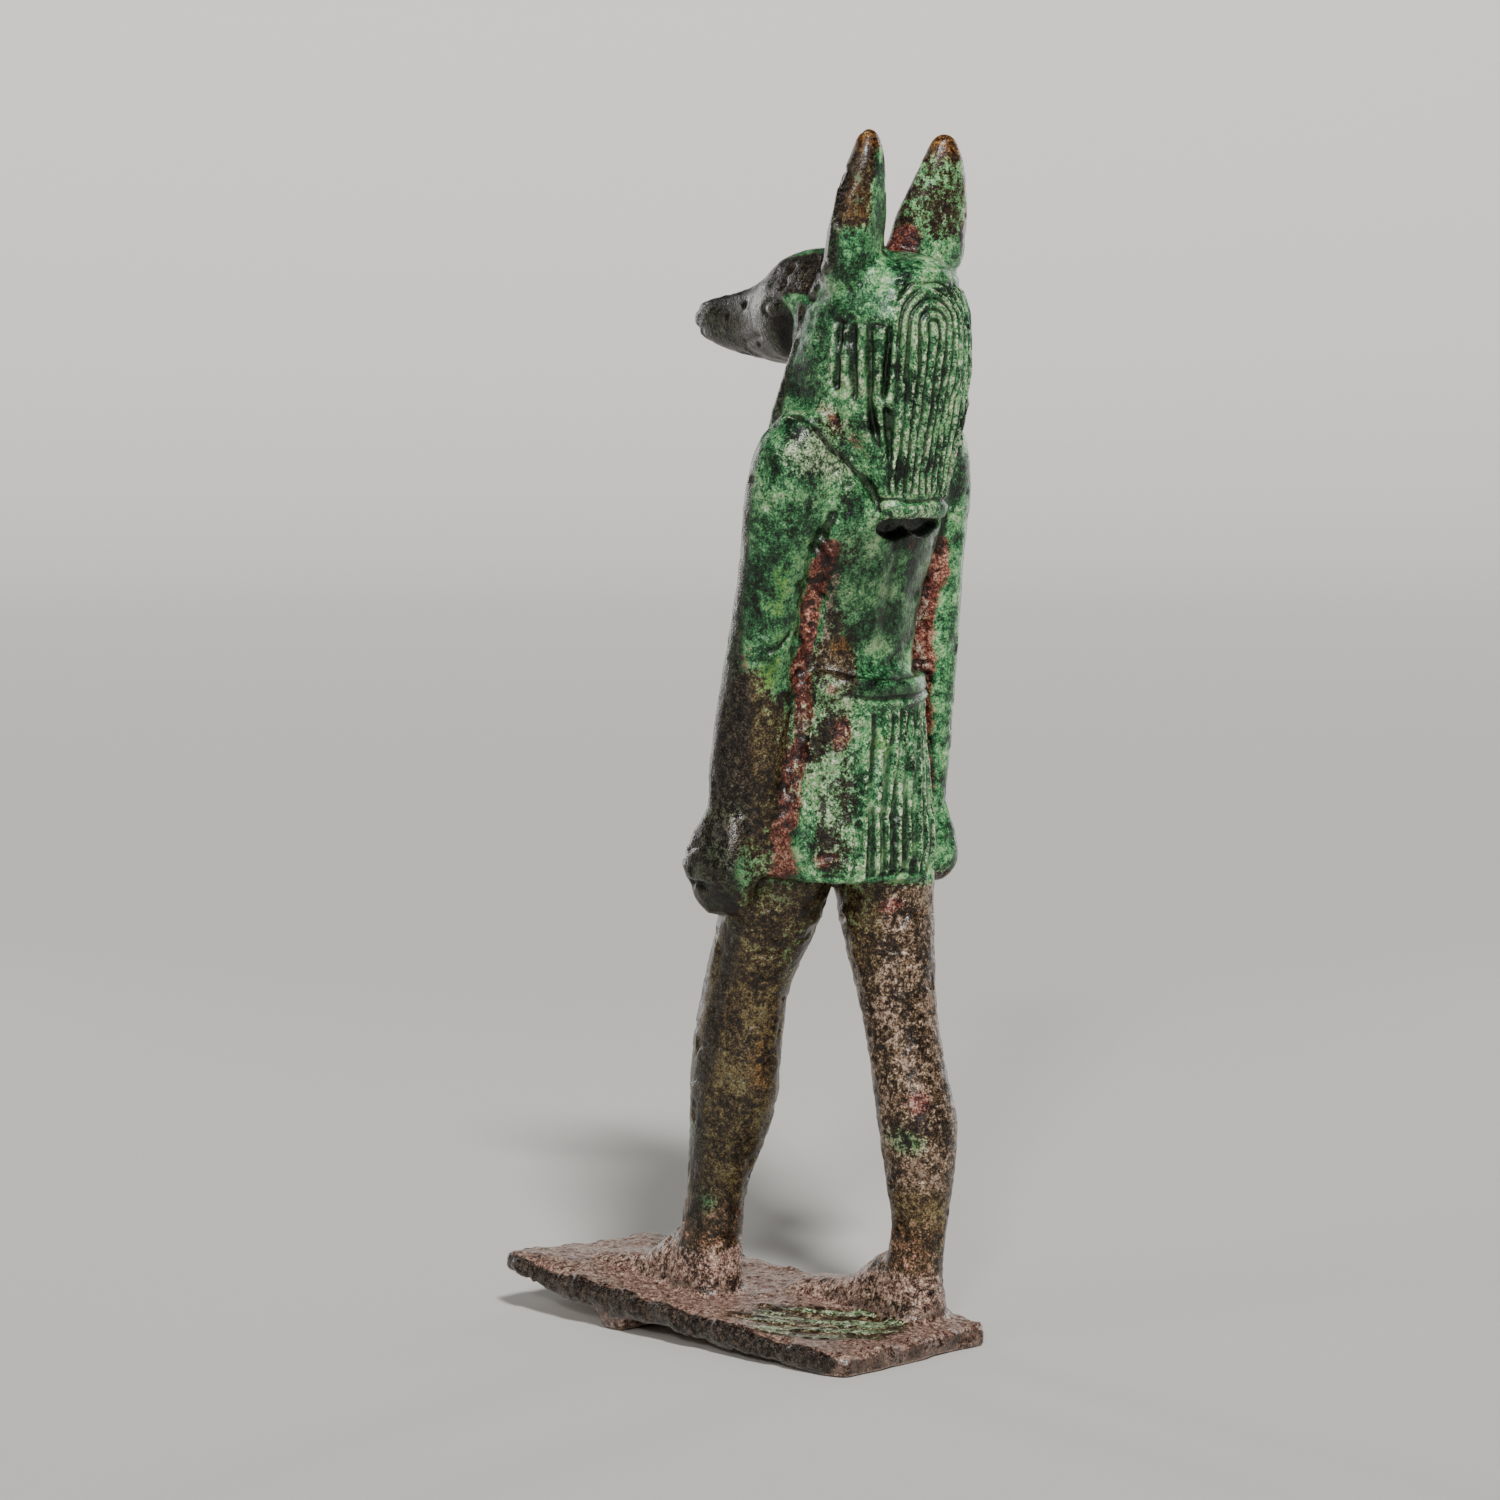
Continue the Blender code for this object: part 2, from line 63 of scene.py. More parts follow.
# %% [markdown]
# ## Camera
# The figure is seen from behind its left shoulder, from nearly its own height and close by, so its
# near side is a little larger than its far side. A long lens on a small object keeps its
# proportions true. The camera could be tracked to an empty; a place worked out from an angle is
# easier to read and to change.

# %% Camera behind the left shoulder
ROUND_DEG = 133.0  # from the front, round by the figure's left
DOWN_DEG = 4.65
DISTANCE = 430 * MM
AIM = Vector((4.86, 2.46, 59.39)) * MM

around, down = math.radians(ROUND_DEG), math.radians(DOWN_DEG)
back = Vector((math.sin(around) * math.cos(down), -math.cos(around) * math.cos(down), math.sin(down)))
camera_data = bpy.data.cameras.new("camera")
camera_data.sensor_width = 36.0
camera_data.lens = 103.2
camera_data.clip_start = 0.01
camera = bpy.data.objects.new("camera", camera_data)
camera.location = AIM + back * DISTANCE
camera.rotation_euler = back.to_track_quat("Z", "Y").to_euler()
bpy.context.scene.collection.objects.link(camera)
bpy.context.scene.camera = camera
print("camera at", [round(c, 3) for c in camera.location])

# %% [markdown]
# ## The skin
# A carver works on a close-grained block, and so does this script: the solid's copy is rounded with
# one subdivision, then remeshed into even little squares, about a quarter of a millimetre wide.
# Sculpt mode's brushes would do the next steps by hand; moving the points in code can be repeated.

# %% A fine skin over the solid
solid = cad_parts["anubis_figure"]
GRAIN = 0.245 * MM


def settle(piece):
    """Replaces the piece's mesh with the one its modifiers give."""
    graph = bpy.context.evaluated_depsgraph_get()
    mesh = bpy.data.meshes.new_from_object(piece.evaluated_get(graph))
    piece.modifiers.clear()
    piece.data = mesh


skin = bpy.data.objects.new("bronze_skin", solid.data.copy())
bpy.context.scene.collection.objects.link(skin)
welded = bmesh.new()
welded.from_mesh(skin.data)
bmesh.ops.remove_doubles(welded, verts=welded.verts, dist=1e-6)
welded.to_mesh(skin.data)
welded.free()
rounded = skin.modifiers.new("Rounded", "SUBSURF")
rounded.levels = rounded.render_levels = 1
even = skin.modifiers.new("Even", "REMESH")
even.mode = "VOXEL"
even.voxel_size = GRAIN
settle(skin)
print("skin:", len(skin.data.vertices), "points")

# %% [markdown]
# ## The upright wax
# The casting leans back by about four degrees on a broken lug, but it was carved standing straight.
# Places on it are easier to name in that straight pose, in millimetres above the soles, with the
# figure's left as +x and its front as -y.

# %% From the leaning casting to the upright wax
LEAN = math.radians(4.2)
PLATE_BACK, PLATE_THICKNESS = 16.35, 2.5
CENTRED_BY = np.array((0.0, -22.948, 0.25))


def upright(points):
    """Points of the casting, in metres, as places on the upright wax, in millimetres."""
    x, y, z = (points / MM + CENTRED_BY).T
    return np.stack(
        (
            x,
            y * math.cos(LEAN) - z * math.sin(LEAN) + PLATE_BACK,
            y * math.sin(LEAN) + z * math.cos(LEAN) - PLATE_THICKNESS,
        ),
        axis=1,
    )


def read_skin():
    mesh = skin.data
    points = np.empty(len(mesh.vertices) * 3, np.float32)
    mesh.vertices.foreach_get("co", points)
    normals = np.empty_like(points)
    mesh.vertex_normals.foreach_get("vector", normals)
    edges = np.empty(len(mesh.edges) * 2, np.int32)
    mesh.edges.foreach_get("vertices", edges)
    return points.reshape(-1, 3).astype(float), normals.reshape(-1, 3), edges.reshape(-1, 2)


def write_skin(points):
    skin.data.vertices.foreach_set("co", points.astype(np.float32).ravel())
    skin.data.update()


points, normals, edges = read_skin()
wax = upright(points)
print("wax stands", round(float(wax[:, 2].max()), 1), "mm above the soles")

# %% [markdown]
# ## Tools for a carver
# A few helpers stand in for the carver's hands. One evens out the surface, as a thumb does on wax.
# One gives smooth noise, for everything that is irregular. One measures how near a point is to a
# drawn line, for grooves and ridges. One gives a soft step from 0 to 1, and one a soft band at a
# level.


# %% Thumb, noise, line, step and band
def relaxed(values, edges, rounds, strength=0.5):
    """Each value moved towards the mean of its neighbours, again and again."""
    count = len(values)
    ends = np.concatenate((edges[:, 0], edges[:, 1]))
    others = np.concatenate((edges[:, 1], edges[:, 0]))
    neighbours = np.maximum(np.bincount(ends, minlength=count), 1)
    table = values.reshape(count, -1).astype(float)
    strength = np.broadcast_to(np.asarray(strength, float), (count,))[:, None]
    for _ in range(rounds):
        sums = [np.bincount(ends, column[others], minlength=count) for column in table.T]
        mean = np.stack([total / neighbours for total in sums], axis=1)
        table += (mean - table) * strength
    return table.reshape(values.shape)


def rough(places, size, seed, stretch=(1.0, 1.0, 1.0)):
    """Smooth noise between -1 and 1, with lumps about size millimetres across."""
    q = places / (size * np.asarray(stretch)) + seed * 7.31
    cell = np.floor(q).astype(np.int64)
    t = q - cell
    t = t * t * (3 - 2 * t)
    total = np.zeros(len(q))
    for corner in range(8):
        step = np.array((corner & 1, corner >> 1 & 1, corner >> 2))
        keys = (cell + step) * np.array((73856093, 19349663, 83492791))
        mixed = keys[:, 0] ^ keys[:, 1] ^ keys[:, 2] ^ (seed * 26544357)
        mixed = ((mixed ^ (mixed >> 13)) * 1274126177) & 0x7FFFFFFF
        height = ((mixed ^ (mixed >> 15)) & 0xFFFF) / 32767.5 - 1
        total += height * np.prod(np.where(step, t, 1 - t), axis=1)
    return total


def fractal(places, size, seed, octaves=3, stretch=(1.0, 1.0, 1.0)):
    """Noise with finer and fainter noise on it."""
    return sum(rough(places, size / 2**k, seed + k, stretch) / 2**k for k in range(octaves))


def fade(value, low, high):
    """0 at low, 1 at high, smooth between."""
    s = np.clip((value - low) / (high - low), 0.0, 1.0)
    return s * s * (3 - 2 * s)


def away(places, path):
    """Distance in millimetres to a line drawn through a few places."""
    nearest = np.full(len(places), np.inf)
    path = np.asarray(path, float)
    for a, b in zip(path, path[1:]):
        along = np.clip((places - a) @ (b - a) / ((b - a) @ (b - a)), 0, 1)
        nearest = np.minimum(nearest, np.linalg.norm(places - a - along[:, None] * (b - a), axis=1))
    return nearest


def line(path, width, both=False):
    """1 on the line, fading out over its width. Both draws it on the right side too."""
    near = away(drawn, path)
    if both:
        near = np.minimum(near, away(drawn * (-1, 1, 1), path))
    return np.exp(-((near / width) ** 2))


def level_line(height, middle, width):
    """1 where the height is at the middle, fading out over the width."""
    return np.exp(-(((height - middle) / width) ** 2))


# A hand-drawn line wavers: the lines are measured from slightly wandering places.
CARVED_WANDER, PAINTED_WANDER = 0.18, 0.5  # in millimetres
wander = np.stack([fractal(wax, 3.0, 11 + k, 2) for k in range(3)], axis=1)
drawn = wax + wander * CARVED_WANDER
x, y, z = wax.T
print("noise spans", round(float(wander.min()), 2), "to", round(float(wander.max()), 2))

# %% [markdown]
# ## Clearing the coarse carving
# The solid already has the wig's strands and the kilt's pleats, in few faces. They are smoothed
# away here first, in those two places only, so that the finer ones below don't double them.

# %% Smooth the wig and the kilt
HEAD_Y = 2.0  # how far back the middle of the wig is
from_head = np.hypot(x, y - HEAD_Y)
on_wig = fade(z, 78.2, 79.4) * (1 - fade(z, 104.6, 105.6))
on_wig = on_wig * fade(y, -4.5, -3.0) * fade(from_head, 4.5, 5.5)
on_kilt = fade(z, 44.6, 45.6) * (1 - fade(z, 61.2, 62.0)) * (1 - fade(np.abs(x), 9.2, 10.2))
plainer = 0.12 + 0.38 * np.maximum(on_wig, on_kilt)
rounds = 14
points = relaxed(points, edges, rounds, plainer)
write_skin(points)
points, normals, edges = read_skin()
wax = upright(points)
drawn = wax + wander * CARVED_WANDER
x, y, z = wax.T
from_head = np.hypot(x, y - HEAD_Y)
cut = np.zeros(len(wax))  # how deep each place is cut, in millimetres
print("smoothed", int((plainer > 0.3).sum()), "points")

# %% [markdown]
# ## Wig
# The striped wig hangs in a squared panel down the back. On the back of the head its strands nest
# in arches, over the ears' roots they stop at a plain band, and behind the left ear there are only
# a few deep slots. All were scratched into wax, so they waver. A Wave texture could drive a
# displacement, but a formula of the angle round the head lets strands turn into arches.

# %% Strands, slots and band
ARCH_SIDE, ARCH_Z, STRAND = 2.2, 98.9, 1.12
WIG_RADIUS, ARCH_HEIGHT = 9.2, 1.1
around_head = np.arctan2(x, y - HEAD_Y)
across = around_head * WIG_RADIUS - ARCH_SIDE
above = np.maximum(z - ARCH_Z, 0.0)
waver = 0.42 * fractal(wax, 5.0, 31, 3, (1, 1, 2)) + 0.16 * rough(wax, 1.2, 35, (1, 1, 1.8))
strand_phase = np.hypot(across, above * ARCH_HEIGHT) / STRAND + waver
strands = (0.5 - 0.5 * np.cos(2 * math.pi * strand_phase)) ** 1.3
shoulder_line = z - 87.6 + 2.0 * (y - 3.8)
wig_body = (
    (1 - fade(z, 102.4, 103.4)) * fade(z, 82.0, 82.6) * fade(y, -3.6, -2.2)
    * fade(from_head, 5.0, 6.0) * fade(shoulder_line, 0.2, 1.4) * (1 - fade(np.abs(x), 9.4, 10.4))
)
side = fade(np.degrees(np.abs(around_head)), 39, 45)
uneven = 0.85 + 0.50 * rough(wax, 2.2, 39, (1, 1, 1.8))
cut += wig_body * (1 - side) * 0.50 * np.clip(uneven, 0.45, 1.3) * strands
SLOTS = (
    ((8.2, 3.1, 98.8), (8.3, 3.4, 96.1), (8.5, 3.5, 92.8)),
    ((7.9, 4.6, 98.6), (7.9, 4.9, 96.2), (8.1, 5.5, 91.8)),
    ((7.2, 6.1, 98.6), (7.5, 6.6, 95.4), (7.3, 7.0, 91.6), (6.4, 7.2, 87.0)),
    ((6.3, 7.9, 98.4), (6.4, 8.2, 94.6), (6.3, 8.1, 92.2)),
    ((6.0, 8.2, 90.6), (5.4, 8.2, 86.0)),
)
slots = np.max([line(slot, 0.46, both=True) for slot in SLOTS], axis=0)
SLOT_TOPS = ((8.2, 2.6, 98.9), (8.1, 4.0, 99.0), (7.6, 5.5, 99.0), (6.6, 7.4, 98.8))
slots = np.maximum(slots, 0.5 * line(SLOT_TOPS, 0.40, both=True))
cut += 1.05 * slots * (0.85 + 0.35 * rough(wax, 1.6, 36))
crown = fade(y, -1.5, 1.0) * fade(from_head, 3.5, 4.5) * (1 - fade(np.abs(x), 8.6, 9.4))
cut += crown * 0.30 * (1 - 0.7 * fade(x, 3.0, 5.0)) * level_line(z + 0.10 * np.abs(x), 103.3, 0.30)
cut += crown * 0.16 * (1 - fade(x, 2.0, 4.0)) * level_line(z + 0.08 * np.abs(x), 104.9, 0.24)
print("deepest strand:", round(float(cut.max()), 2), "mm")

# %% [markdown]
# ## The wig's edges
# The panel ends in a plain lip, and the back is cut away under it, which is the darkest place on
# the figure. A crisp edge runs from the panel's corners up over the shoulder blades. In front, a
# rounded rim frames the face, with a deep recess between it and the cheek.

# %% Lip, undercut, shoulder edge and face rim
panel = (1 - fade(np.abs(x), 4.6, 5.4)) * fade(y, 4.5, 5.5)
cut += panel * 0.34 * level_line(z + 0.18 * rough(wax, 1.5, 41), 81.9, 0.28)
# The undercut's lower edge hangs in a scallop and rises to a point at each end.
scallop = 78.1 + 0.4 * level_line(x, -1.2, 1.1) + 0.25 * rough(wax, 1.4, 43)
scallop += 1.0 * fade(-x, 3.0, 7.0) + 0.6 * fade(x, 2.0, 4.0)
under = fade(z, scallop - 0.4, scallop + 0.3) * (1 - fade(z, 79.8, 80.2))
under = under * fade(x, -7.0, -6.0) * (1 - fade(x, 3.2, 4.0)) * fade(y, 3.4, 4.2)
cut += 1.25 * under
cut -= panel * 0.24 * fade(z, 80.0, 80.4) * (1 - fade(z, 81.2, 81.8))
SHOULDER_EDGE = (
    (11.0, -1.0, 90.6), (10.9, 1.5, 89.4), (9.6, 3.6, 87.6),
    (7.4, 4.6, 85.6), (5.4, 6.0, 82.8), (4.7, 6.8, 80.6),
)
BESIDE_EDGE = [(px + 0.5, py, pz - 0.75) for px, py, pz in SHOULDER_EDGE]
cut += 0.78 * line(SHOULDER_EDGE, 0.46, both=True) - 0.26 * line(BESIDE_EDGE, 0.55, both=True)
RIM = ((6.5, -3.3, 99.4), (7.1, -3.1, 96.7), (7.6, -3.3, 94.2), (8.2, -3.8, 91.8), (8.6, -4.4, 89.4))
cut -= 0.30 * line(RIM, 0.70, both=True)
cut += 1.15 * line(((5.8, -6.3, 98.4), (5.2, -6.8, 96.4), (4.6, -7.0, 94.2)), 1.0, both=True)
cut += 0.30 * line(((6.6, -2.2, 100.8), (7.7, 0.8, 101.2), (7.4, 3.7, 102.0)), 0.40, both=True)
print("undercut reaches", round(float(cut[under > 0.5].max()), 2), "mm")

# %% [markdown]
# ## Kilt and belt
# The kilt's pleats are narrow ridges that fan out from the back of the belt. They are sharp behind
# and on the right, and worn nearly flat on the left. The belt is a flat band between two thin
# ridges, not a roll, so its middle is pressed in.

# %% Pleats and belt
PLEATS, HIPS_Y, BELT_Z = 36, -0.4, 63.4
around_hips = np.degrees(np.arctan2(x, y - HIPS_Y))
fan = 11.0 * fade(z, 49.0, 61.0) * fade(25 - around_hips, 0, 20) * fade(around_hips, -75, -30)
pleat_phase = (around_hips + fan) / 360 * PLEATS + 0.26 * fractal(wax, 4.0, 51, 3, (1, 1, 2.5))
pleats = (0.5 - 0.5 * np.cos(2 * math.pi * pleat_phase)) ** 0.8
paired = 0.5 - 0.5 * np.cos(math.pi * pleat_phase)
finer = (0.5 - 0.5 * np.cos(4 * math.pi * pleat_phase)) ** 1.5 * (1 - fade(z, 50, 55))
kilt = fade(z, 44.3, 45.0) * (1 - fade(z, 60.4, 61.8))
kilt = kilt * (1 - fade(np.abs(x), 9.0, 9.9)) * fade(y, -6.4, -5.0)
worn = 1 - 0.76 * fade(around_hips, 22, 40) * (1 - fade(around_hips, 120, 140))
kilt_cut = kilt * worn * (0.40 * pleats + 0.18 * paired + 0.20 * finer)
kilt_cut = kilt_cut * (0.75 + 0.6 * rough(wax, 2.4, 55, (1, 1, 2)))
cut += kilt_cut
belt_dip = -0.9 * fade(around_hips, -70, 0) * (1 - fade(around_hips, 0, 70))
belt_z = z - BELT_Z - belt_dip * 0.6
faint_left = 1 - 0.8 * fade(around_hips, 40, 62) * (1 - fade(around_hips, 120, 140))
hips = (1 - fade(np.abs(x), 8.6, 9.6)) * faint_left
cut += hips * 0.30 * np.exp(-((belt_z / 0.75) ** 4))
for edge_z, depth in ((1.45, 0.36), (-0.72, 0.40), (0.95, 0.14), (-1.6, 0.12)):
    cut += hips * depth * level_line(belt_z + 0.14 * rough(wax, 2.0, 57), edge_z, 0.22)
HEM = ((9.8, 0.6, 44.8), (7.5, 6.0, 44.9), (0.0, 8.4, 44.9), (-7.5, 6.0, 44.9), (-9.8, 0.6, 44.8))
cut += 0.30 * line(HEM, 0.30)
APRON = ((1.6, -6.9, 61.5), (2.2, -8.0, 52.0), (1.4, -8.9, 44.6))
cut += 0.34 * line(APRON, 0.35) + 0.26 * line([(-px, py, pz) for px, py, pz in APRON], 0.35)
print("pleats cut to", round(float(kilt_cut.max()), 2), "mm")

# %% [markdown]
# ## Body
# The back has a furrow along the spine, and hollows under the armpits where the arms were left
# joined to the trunk by webs of metal. The webs are rough: they were never dressed. In front are
# the two lappets of the wig, a navel and the line of the chest.

# %% Spine, armpits, webs and chest
cut += 0.30 * line(((0.2, 5.9, 77.0), (0.6, 5.4, 73.5), (0.7, 5.2, 69.0)), 1.0)
cut -= 0.16 * line(((2.6, 5.6, 77.0), (2.6, 5.2, 73.0), (2.4, 5.0, 69.0)), 0.8)
LEFT_ARMPIT = ((8.3, 3.9, 80.1), (8.7, 3.4, 78.7), (8.9, 2.6, 77.0))
cut += (0.80 + 0.45 * rough(wax, 0.8, 59)) * line(LEFT_ARMPIT, 0.58)
cut += 0.45 * line(((-8.8, 3.4, 79.6), (-8.6, 3.1, 76.8)), 0.8)
LEFT_WEB = (
    (8.0, 3.3, 77.2), (8.0, 2.6, 75.3), (7.7, 1.4, 71.7), (7.9, 0.9, 67.7),
    (8.4, 0.8, 65.3), (8.6, 1.8, 58.0), (9.5, 1.6, 52.1), (10.3, 1.3, 47.0),
)
RIGHT_WEB = (
    (-8.6, 3.2, 77.0), (-8.4, 2.1, 71.2), (-8.7, 2.0, 67.2),
    (-8.9, 1.8, 60.0), (-9.7, 1.9, 50.0), (-10.3, 1.8, 46.5),
)
webs = np.maximum(line(LEFT_WEB, 1.25), line(RIGHT_WEB, 1.35))
cut += webs * (0.16 + 0.20 * rough(wax, 0.7, 61) + 0.12 * rough(wax, 0.35, 62))
cut += 0.45 * line(((12.9, 0.6, 66.7), (11.9, 1.2, 67.1), (10.6, 1.3, 68.4)), 0.36)
NAVEL = (0.0, -4.9, 68.3)
cut += 0.35 * np.exp(-(np.linalg.norm(drawn - NAVEL, axis=1) / 0.75) ** 2)
cut += 0.22 * line(((-1.0, -5.6, 80.5), (0.0, -5.4, 76.0), (0.0, -5.0, 70.0)), 0.9)
lappet = fade(z, 77.6, 78.2) * (1 - fade(z, 93.0, 95.5))
lappet = lappet * (1 - fade(y, -4.4, -3.6)) * fade(np.abs(x), 1.6, 2.2)
cut += lappet * 0.30 * (0.5 - 0.5 * np.cos(2 * math.pi * (np.abs(x) / 1.15 + waver * 0.5))) ** 1.5
print("webs:", int((webs > 0.5).sum()), "points")

# %% [markdown]
# ## Head
# The muzzle is long and plain. A mouth line runs back along its lower third, the eye is an almond
# with a rim, under a low brow, and the nose has two small nostrils. Each ear has a thin front edge
# that flares down into the head.

# %% Mouth, eyes, nostrils and ears
MOUTH = (
    (0.0, -23.3, 96.7), (1.9, -21.0, 96.5), (2.6, -17.0, 96.1), (3.3, -13.5, 95.9), (4.3, -11.0, 96.6),
)
cut += 0.30 * line(MOUTH, 0.34, both=True)
EYE, EYE_SIZE = np.array((5.5, -7.8, 99.5)), (3.0, 1.45, 0.75)
for sign in (1, -1):
    near_eye = (drawn - EYE * (sign, 1, 1)) / EYE_SIZE
    almond = np.linalg.norm(near_eye, axis=1)
    cut += 0.26 * level_line(almond, 1.2, 0.28) - 0.36 * np.exp(-(almond**2) * 1.2)
cut -= 0.22 * line(((4.4, -11.2, 101.4), (5.4, -8.8, 102.0), (6.2, -6.2, 101.2)), 0.55, both=True)
for sign in (1, -1):
    cut += 0.45 * line(((0.95 * sign, -23.1, 98.6), (1.3 * sign, -22.3, 98.8)), 0.36)
cut += 0.14 * line(((0.0, -21.5, 99.9), (0.0, -16.0, 101.0), (0.0, -12.5, 103.0)), 0.8)
EAR_EDGE = (
    (8.4, 2.6, 113.5), (9.0, 2.9, 110.5), (9.4, 2.8, 107.1),
    (9.1, 2.3, 104.5), (6.4, -1.2, 102.6), (6.3, -1.9, 101.4),
)
cut -= 0.30 * line(EAR_EDGE, 0.55, both=True)
cut += 0.20 * line(((7.9, 4.2, 112.0), (8.6, 4.6, 107.5)), 1.1, both=True)
print("eye rim depth:", round(float(cut[np.linalg.norm(drawn - EYE, axis=1) < 3].max()), 2), "mm")

# %% [markdown]
# ## Hands and feet
# Both fists close on a short baton, whose end is hollow under the left fist. The fingers are three
# short grooves across the front of the fist, and the toes four grooves in the front of each foot.

# %% Fingers, baton and toes
ARM_SWING = 1.9  # the left arm is this far forward and the right one back
for hand in (1, -1):
    swing = -ARM_SWING * hand
    for k in range(3):
        finger_z = 43.9 + 1.55 * k
        knuckles = (
            (15.6, -5.2 + swing, finger_z),
            (13.0, -6.4 + swing, finger_z + 0.3),
            (10.6, -5.0 + swing, finger_z + 0.2),
        )
        cut += 0.40 * line([(px * hand, py, pz) for px, py, pz in knuckles], 0.30)
    thumb = ((15.9, -1.4 + swing, 48.3), (15.4, -4.2 + swing, 46.6), (13.6, -6.0 + swing, 45.6))
    cut += 0.34 * line([(px * hand, py, pz) for px, py, pz in thumb], 0.38)
BATON_END = (14.6, -2.4, 41.0)
cut += 0.95 * np.exp(-(np.linalg.norm((drawn - BATON_END) / (1, 1.2, 1), axis=1) / 1.7) ** 2)
cut += 0.55 * line(((15.6, -1.2, 43.4), (15.9, -3.4, 43.2), (15.0, -6.0, 43.2)), 0.40)
for foot_x, toe_y in ((5.1, -25.25), (-4.1, -5.85)):
    inner = 1 if foot_x < 0 else -1
    for gap in (1.35, 0.15, -0.95, -1.95):
        gap_x = foot_x - inner * (gap - 0.2)
        cut += 0.34 * line(((gap_x, toe_y - 0.4, 0.4), (gap_x, toe_y + 2.9, 2.2)), 0.26)
groove = fade(cut, 0.12, 0.50) * (1 - 0.55 * fade(kilt_cut, 0.0, 0.1)) * (1 - 0.25 * wig_body)
print("cut so far:", int((groove > 0.5).sum()), "points")

# %% [markdown]
# ## Base plate
# The plate was poured thin and never trimmed: its edges are ragged and craggy, with lumps and a
# dark rim. Its top is uneven, with one shallow dish between the right foot and the left back
# corner, where the crust has split into fibres.

# %% Ragged plate
plate = 1 - fade(z, 0.15, 0.6)
PLATE_LEFT, PLATE_RIGHT, PLATE_FRONT = 14.1, -8.9, -31.35
side_in = np.minimum.reduce((PLATE_LEFT - x, x - PLATE_RIGHT, y - PLATE_FRONT))
edge_in = np.minimum(side_in, PLATE_BACK - y)
craggy = plate * (1 - fade(edge_in, 0.6, 2.2))
cut += craggy * (0.36 * fractal(wax, 2.6, 71, 3) + 0.26 * np.abs(rough(wax, 1.0, 75)))
cut += plate * (1 - craggy) * (0.10 * fractal(wax, 3.5, 77, 3))
top = fade(z, -1.0, -0.4) * plate
DISH_X, DISH_Y, ALONG, ASIDE = 5.2, 6.0, 0.73, 0.68  # the dish lies aslant
from_x, from_y = drawn[:, 0] - DISH_X, drawn[:, 1] - DISH_Y
lengthwise = from_y * ALONG - from_x * ASIDE
sideways = from_x * ALONG + from_y * ASIDE
dish = np.hypot(lengthwise / 9.6, sideways / 6.8) + 0.12 * rough(wax, 2.6, 80)
fibres = rough(np.stack((lengthwise / 6, sideways, z), axis=1), 0.75, 78)
cut += top * 0.36 * (1 - fade(dish, 0.45, 1.0))
cut += top * 0.09 * fade(0.2 - fibres, 0.0, 0.6) * (1 - fade(dish, 0.7, 1.1))
flat_below = points[:, 2] < 0.9 * MM
print("craggy edge:", int((craggy > 0.5).sum()), "points")

# %% [markdown]
# ## Pits and lumps
# Corrosion leaves a surface of small pits and warts. Lumps from about 2 mm down to 0.6 mm come
# from noise on the points; anything finer than the skin's own grain is left to the bump in the
# material. No place may stand prouder than the solid's box, and the two resting spots stay flat.

# %% Weather the skin and write it back
weather = 0.055 * fractal(wax, 2.2, 81, 2) + 0.050 * rough(wax, 0.8, 83)
weather = weather + 0.07 * (z < 43.5) * rough(wax, 0.6, 84)  # the legs and the plate are rougher
pits = fade(rough(wax, 1.25, 85) - 0.42, 0.0, 0.35) * 0.22
cut += weather + pits * fade(z, 1.0, 4.0)
cut = np.where(flat_below, np.clip(cut, 0.0, 0.3) * fade(points[:, 2] / MM, 0.05, 0.9), cut)
points = points - normals * (cut * MM)[:, None]
low, high = np.array(cad_box)
points = np.clip(points, low, high)
write_skin(points)
print("cut from", round(float(cut.min()), 2), "to", round(float(cut.max()), 2), "mm")

# %% [markdown]
# ## Where the patina grows
# Each mineral has its own map, a number on every point from 0 to 1, which the material reads. Green
# malachite covers the wig, the back and the kilt. Red cuprite fills the undressed webs. Dark metal
# shows on the face, the left forearm and the plate's rim. Two more maps paint shade in: one darkens
# the creases and hollows, with dirt in the grooves, and one darkens places in shade, with some darker
# patina. Painting the maps by hand with Weight Paint would do too. Drawn from soft spots and lines,
# they can be moved by changing a number.

# %% Creases and ridges: dirt and painted shade in the hollows
def hollowness(rounds):
    """How far a point lies below its surroundings, in millimetres; ridges are negative."""
    return ((relaxed(points, edges, rounds) - points) * normals).sum(1) / MM


points, normals, edges = read_skin()
wax = upright(points)
drawn = wax + wander * PAINTED_WANDER
x, y, z = wax.T
fine, broad = hollowness(4), hollowness(60)
# Dirt and painted shade: the undercut, the carved grooves and the fine and broad hollows are darkened. The
# dirt is in the grooves and fine hollows. The undercut and the broad hollows, such as the armpits and under
# the kilt's hem, are painted shade.
dirt_and_painted_shade = 0.9 * under + 0.85 * groove + 0.5 * fade(fine, 0.015, 0.10) + 0.8 * fade(broad, 0.10, 0.75)
dirt_and_painted_shade = np.clip(dirt_and_painted_shade, 0, 1)
ridge = fade(-fine, 0.012, 0.07) * (1 - groove)
print("creased share:", round(float((dirt_and_painted_shade > 0.5).mean()), 3))


def spot(place, radius):
    """A soft round spot, or an oval one if radius has three numbers."""
    return np.exp(-(np.linalg.norm((drawn - place) / np.asarray(radius, float), axis=1) ** 2))


def over(level, mask, value):
    """The level where the mask is 0, and the value where it is 1."""
    return level * (1 - mask) + value * mask


def most(*levels):
    """The highest of several levels at each point."""
    highest = levels[0]
    for level in levels[1:]:
        highest = np.maximum(highest, level)
    return highest


def dabbed(level, dabs):
    """The level raised by soft spots, each a place, a radius and how much."""
    return most(level, *(much * spot(place, radius) for place, radius, much in dabs))


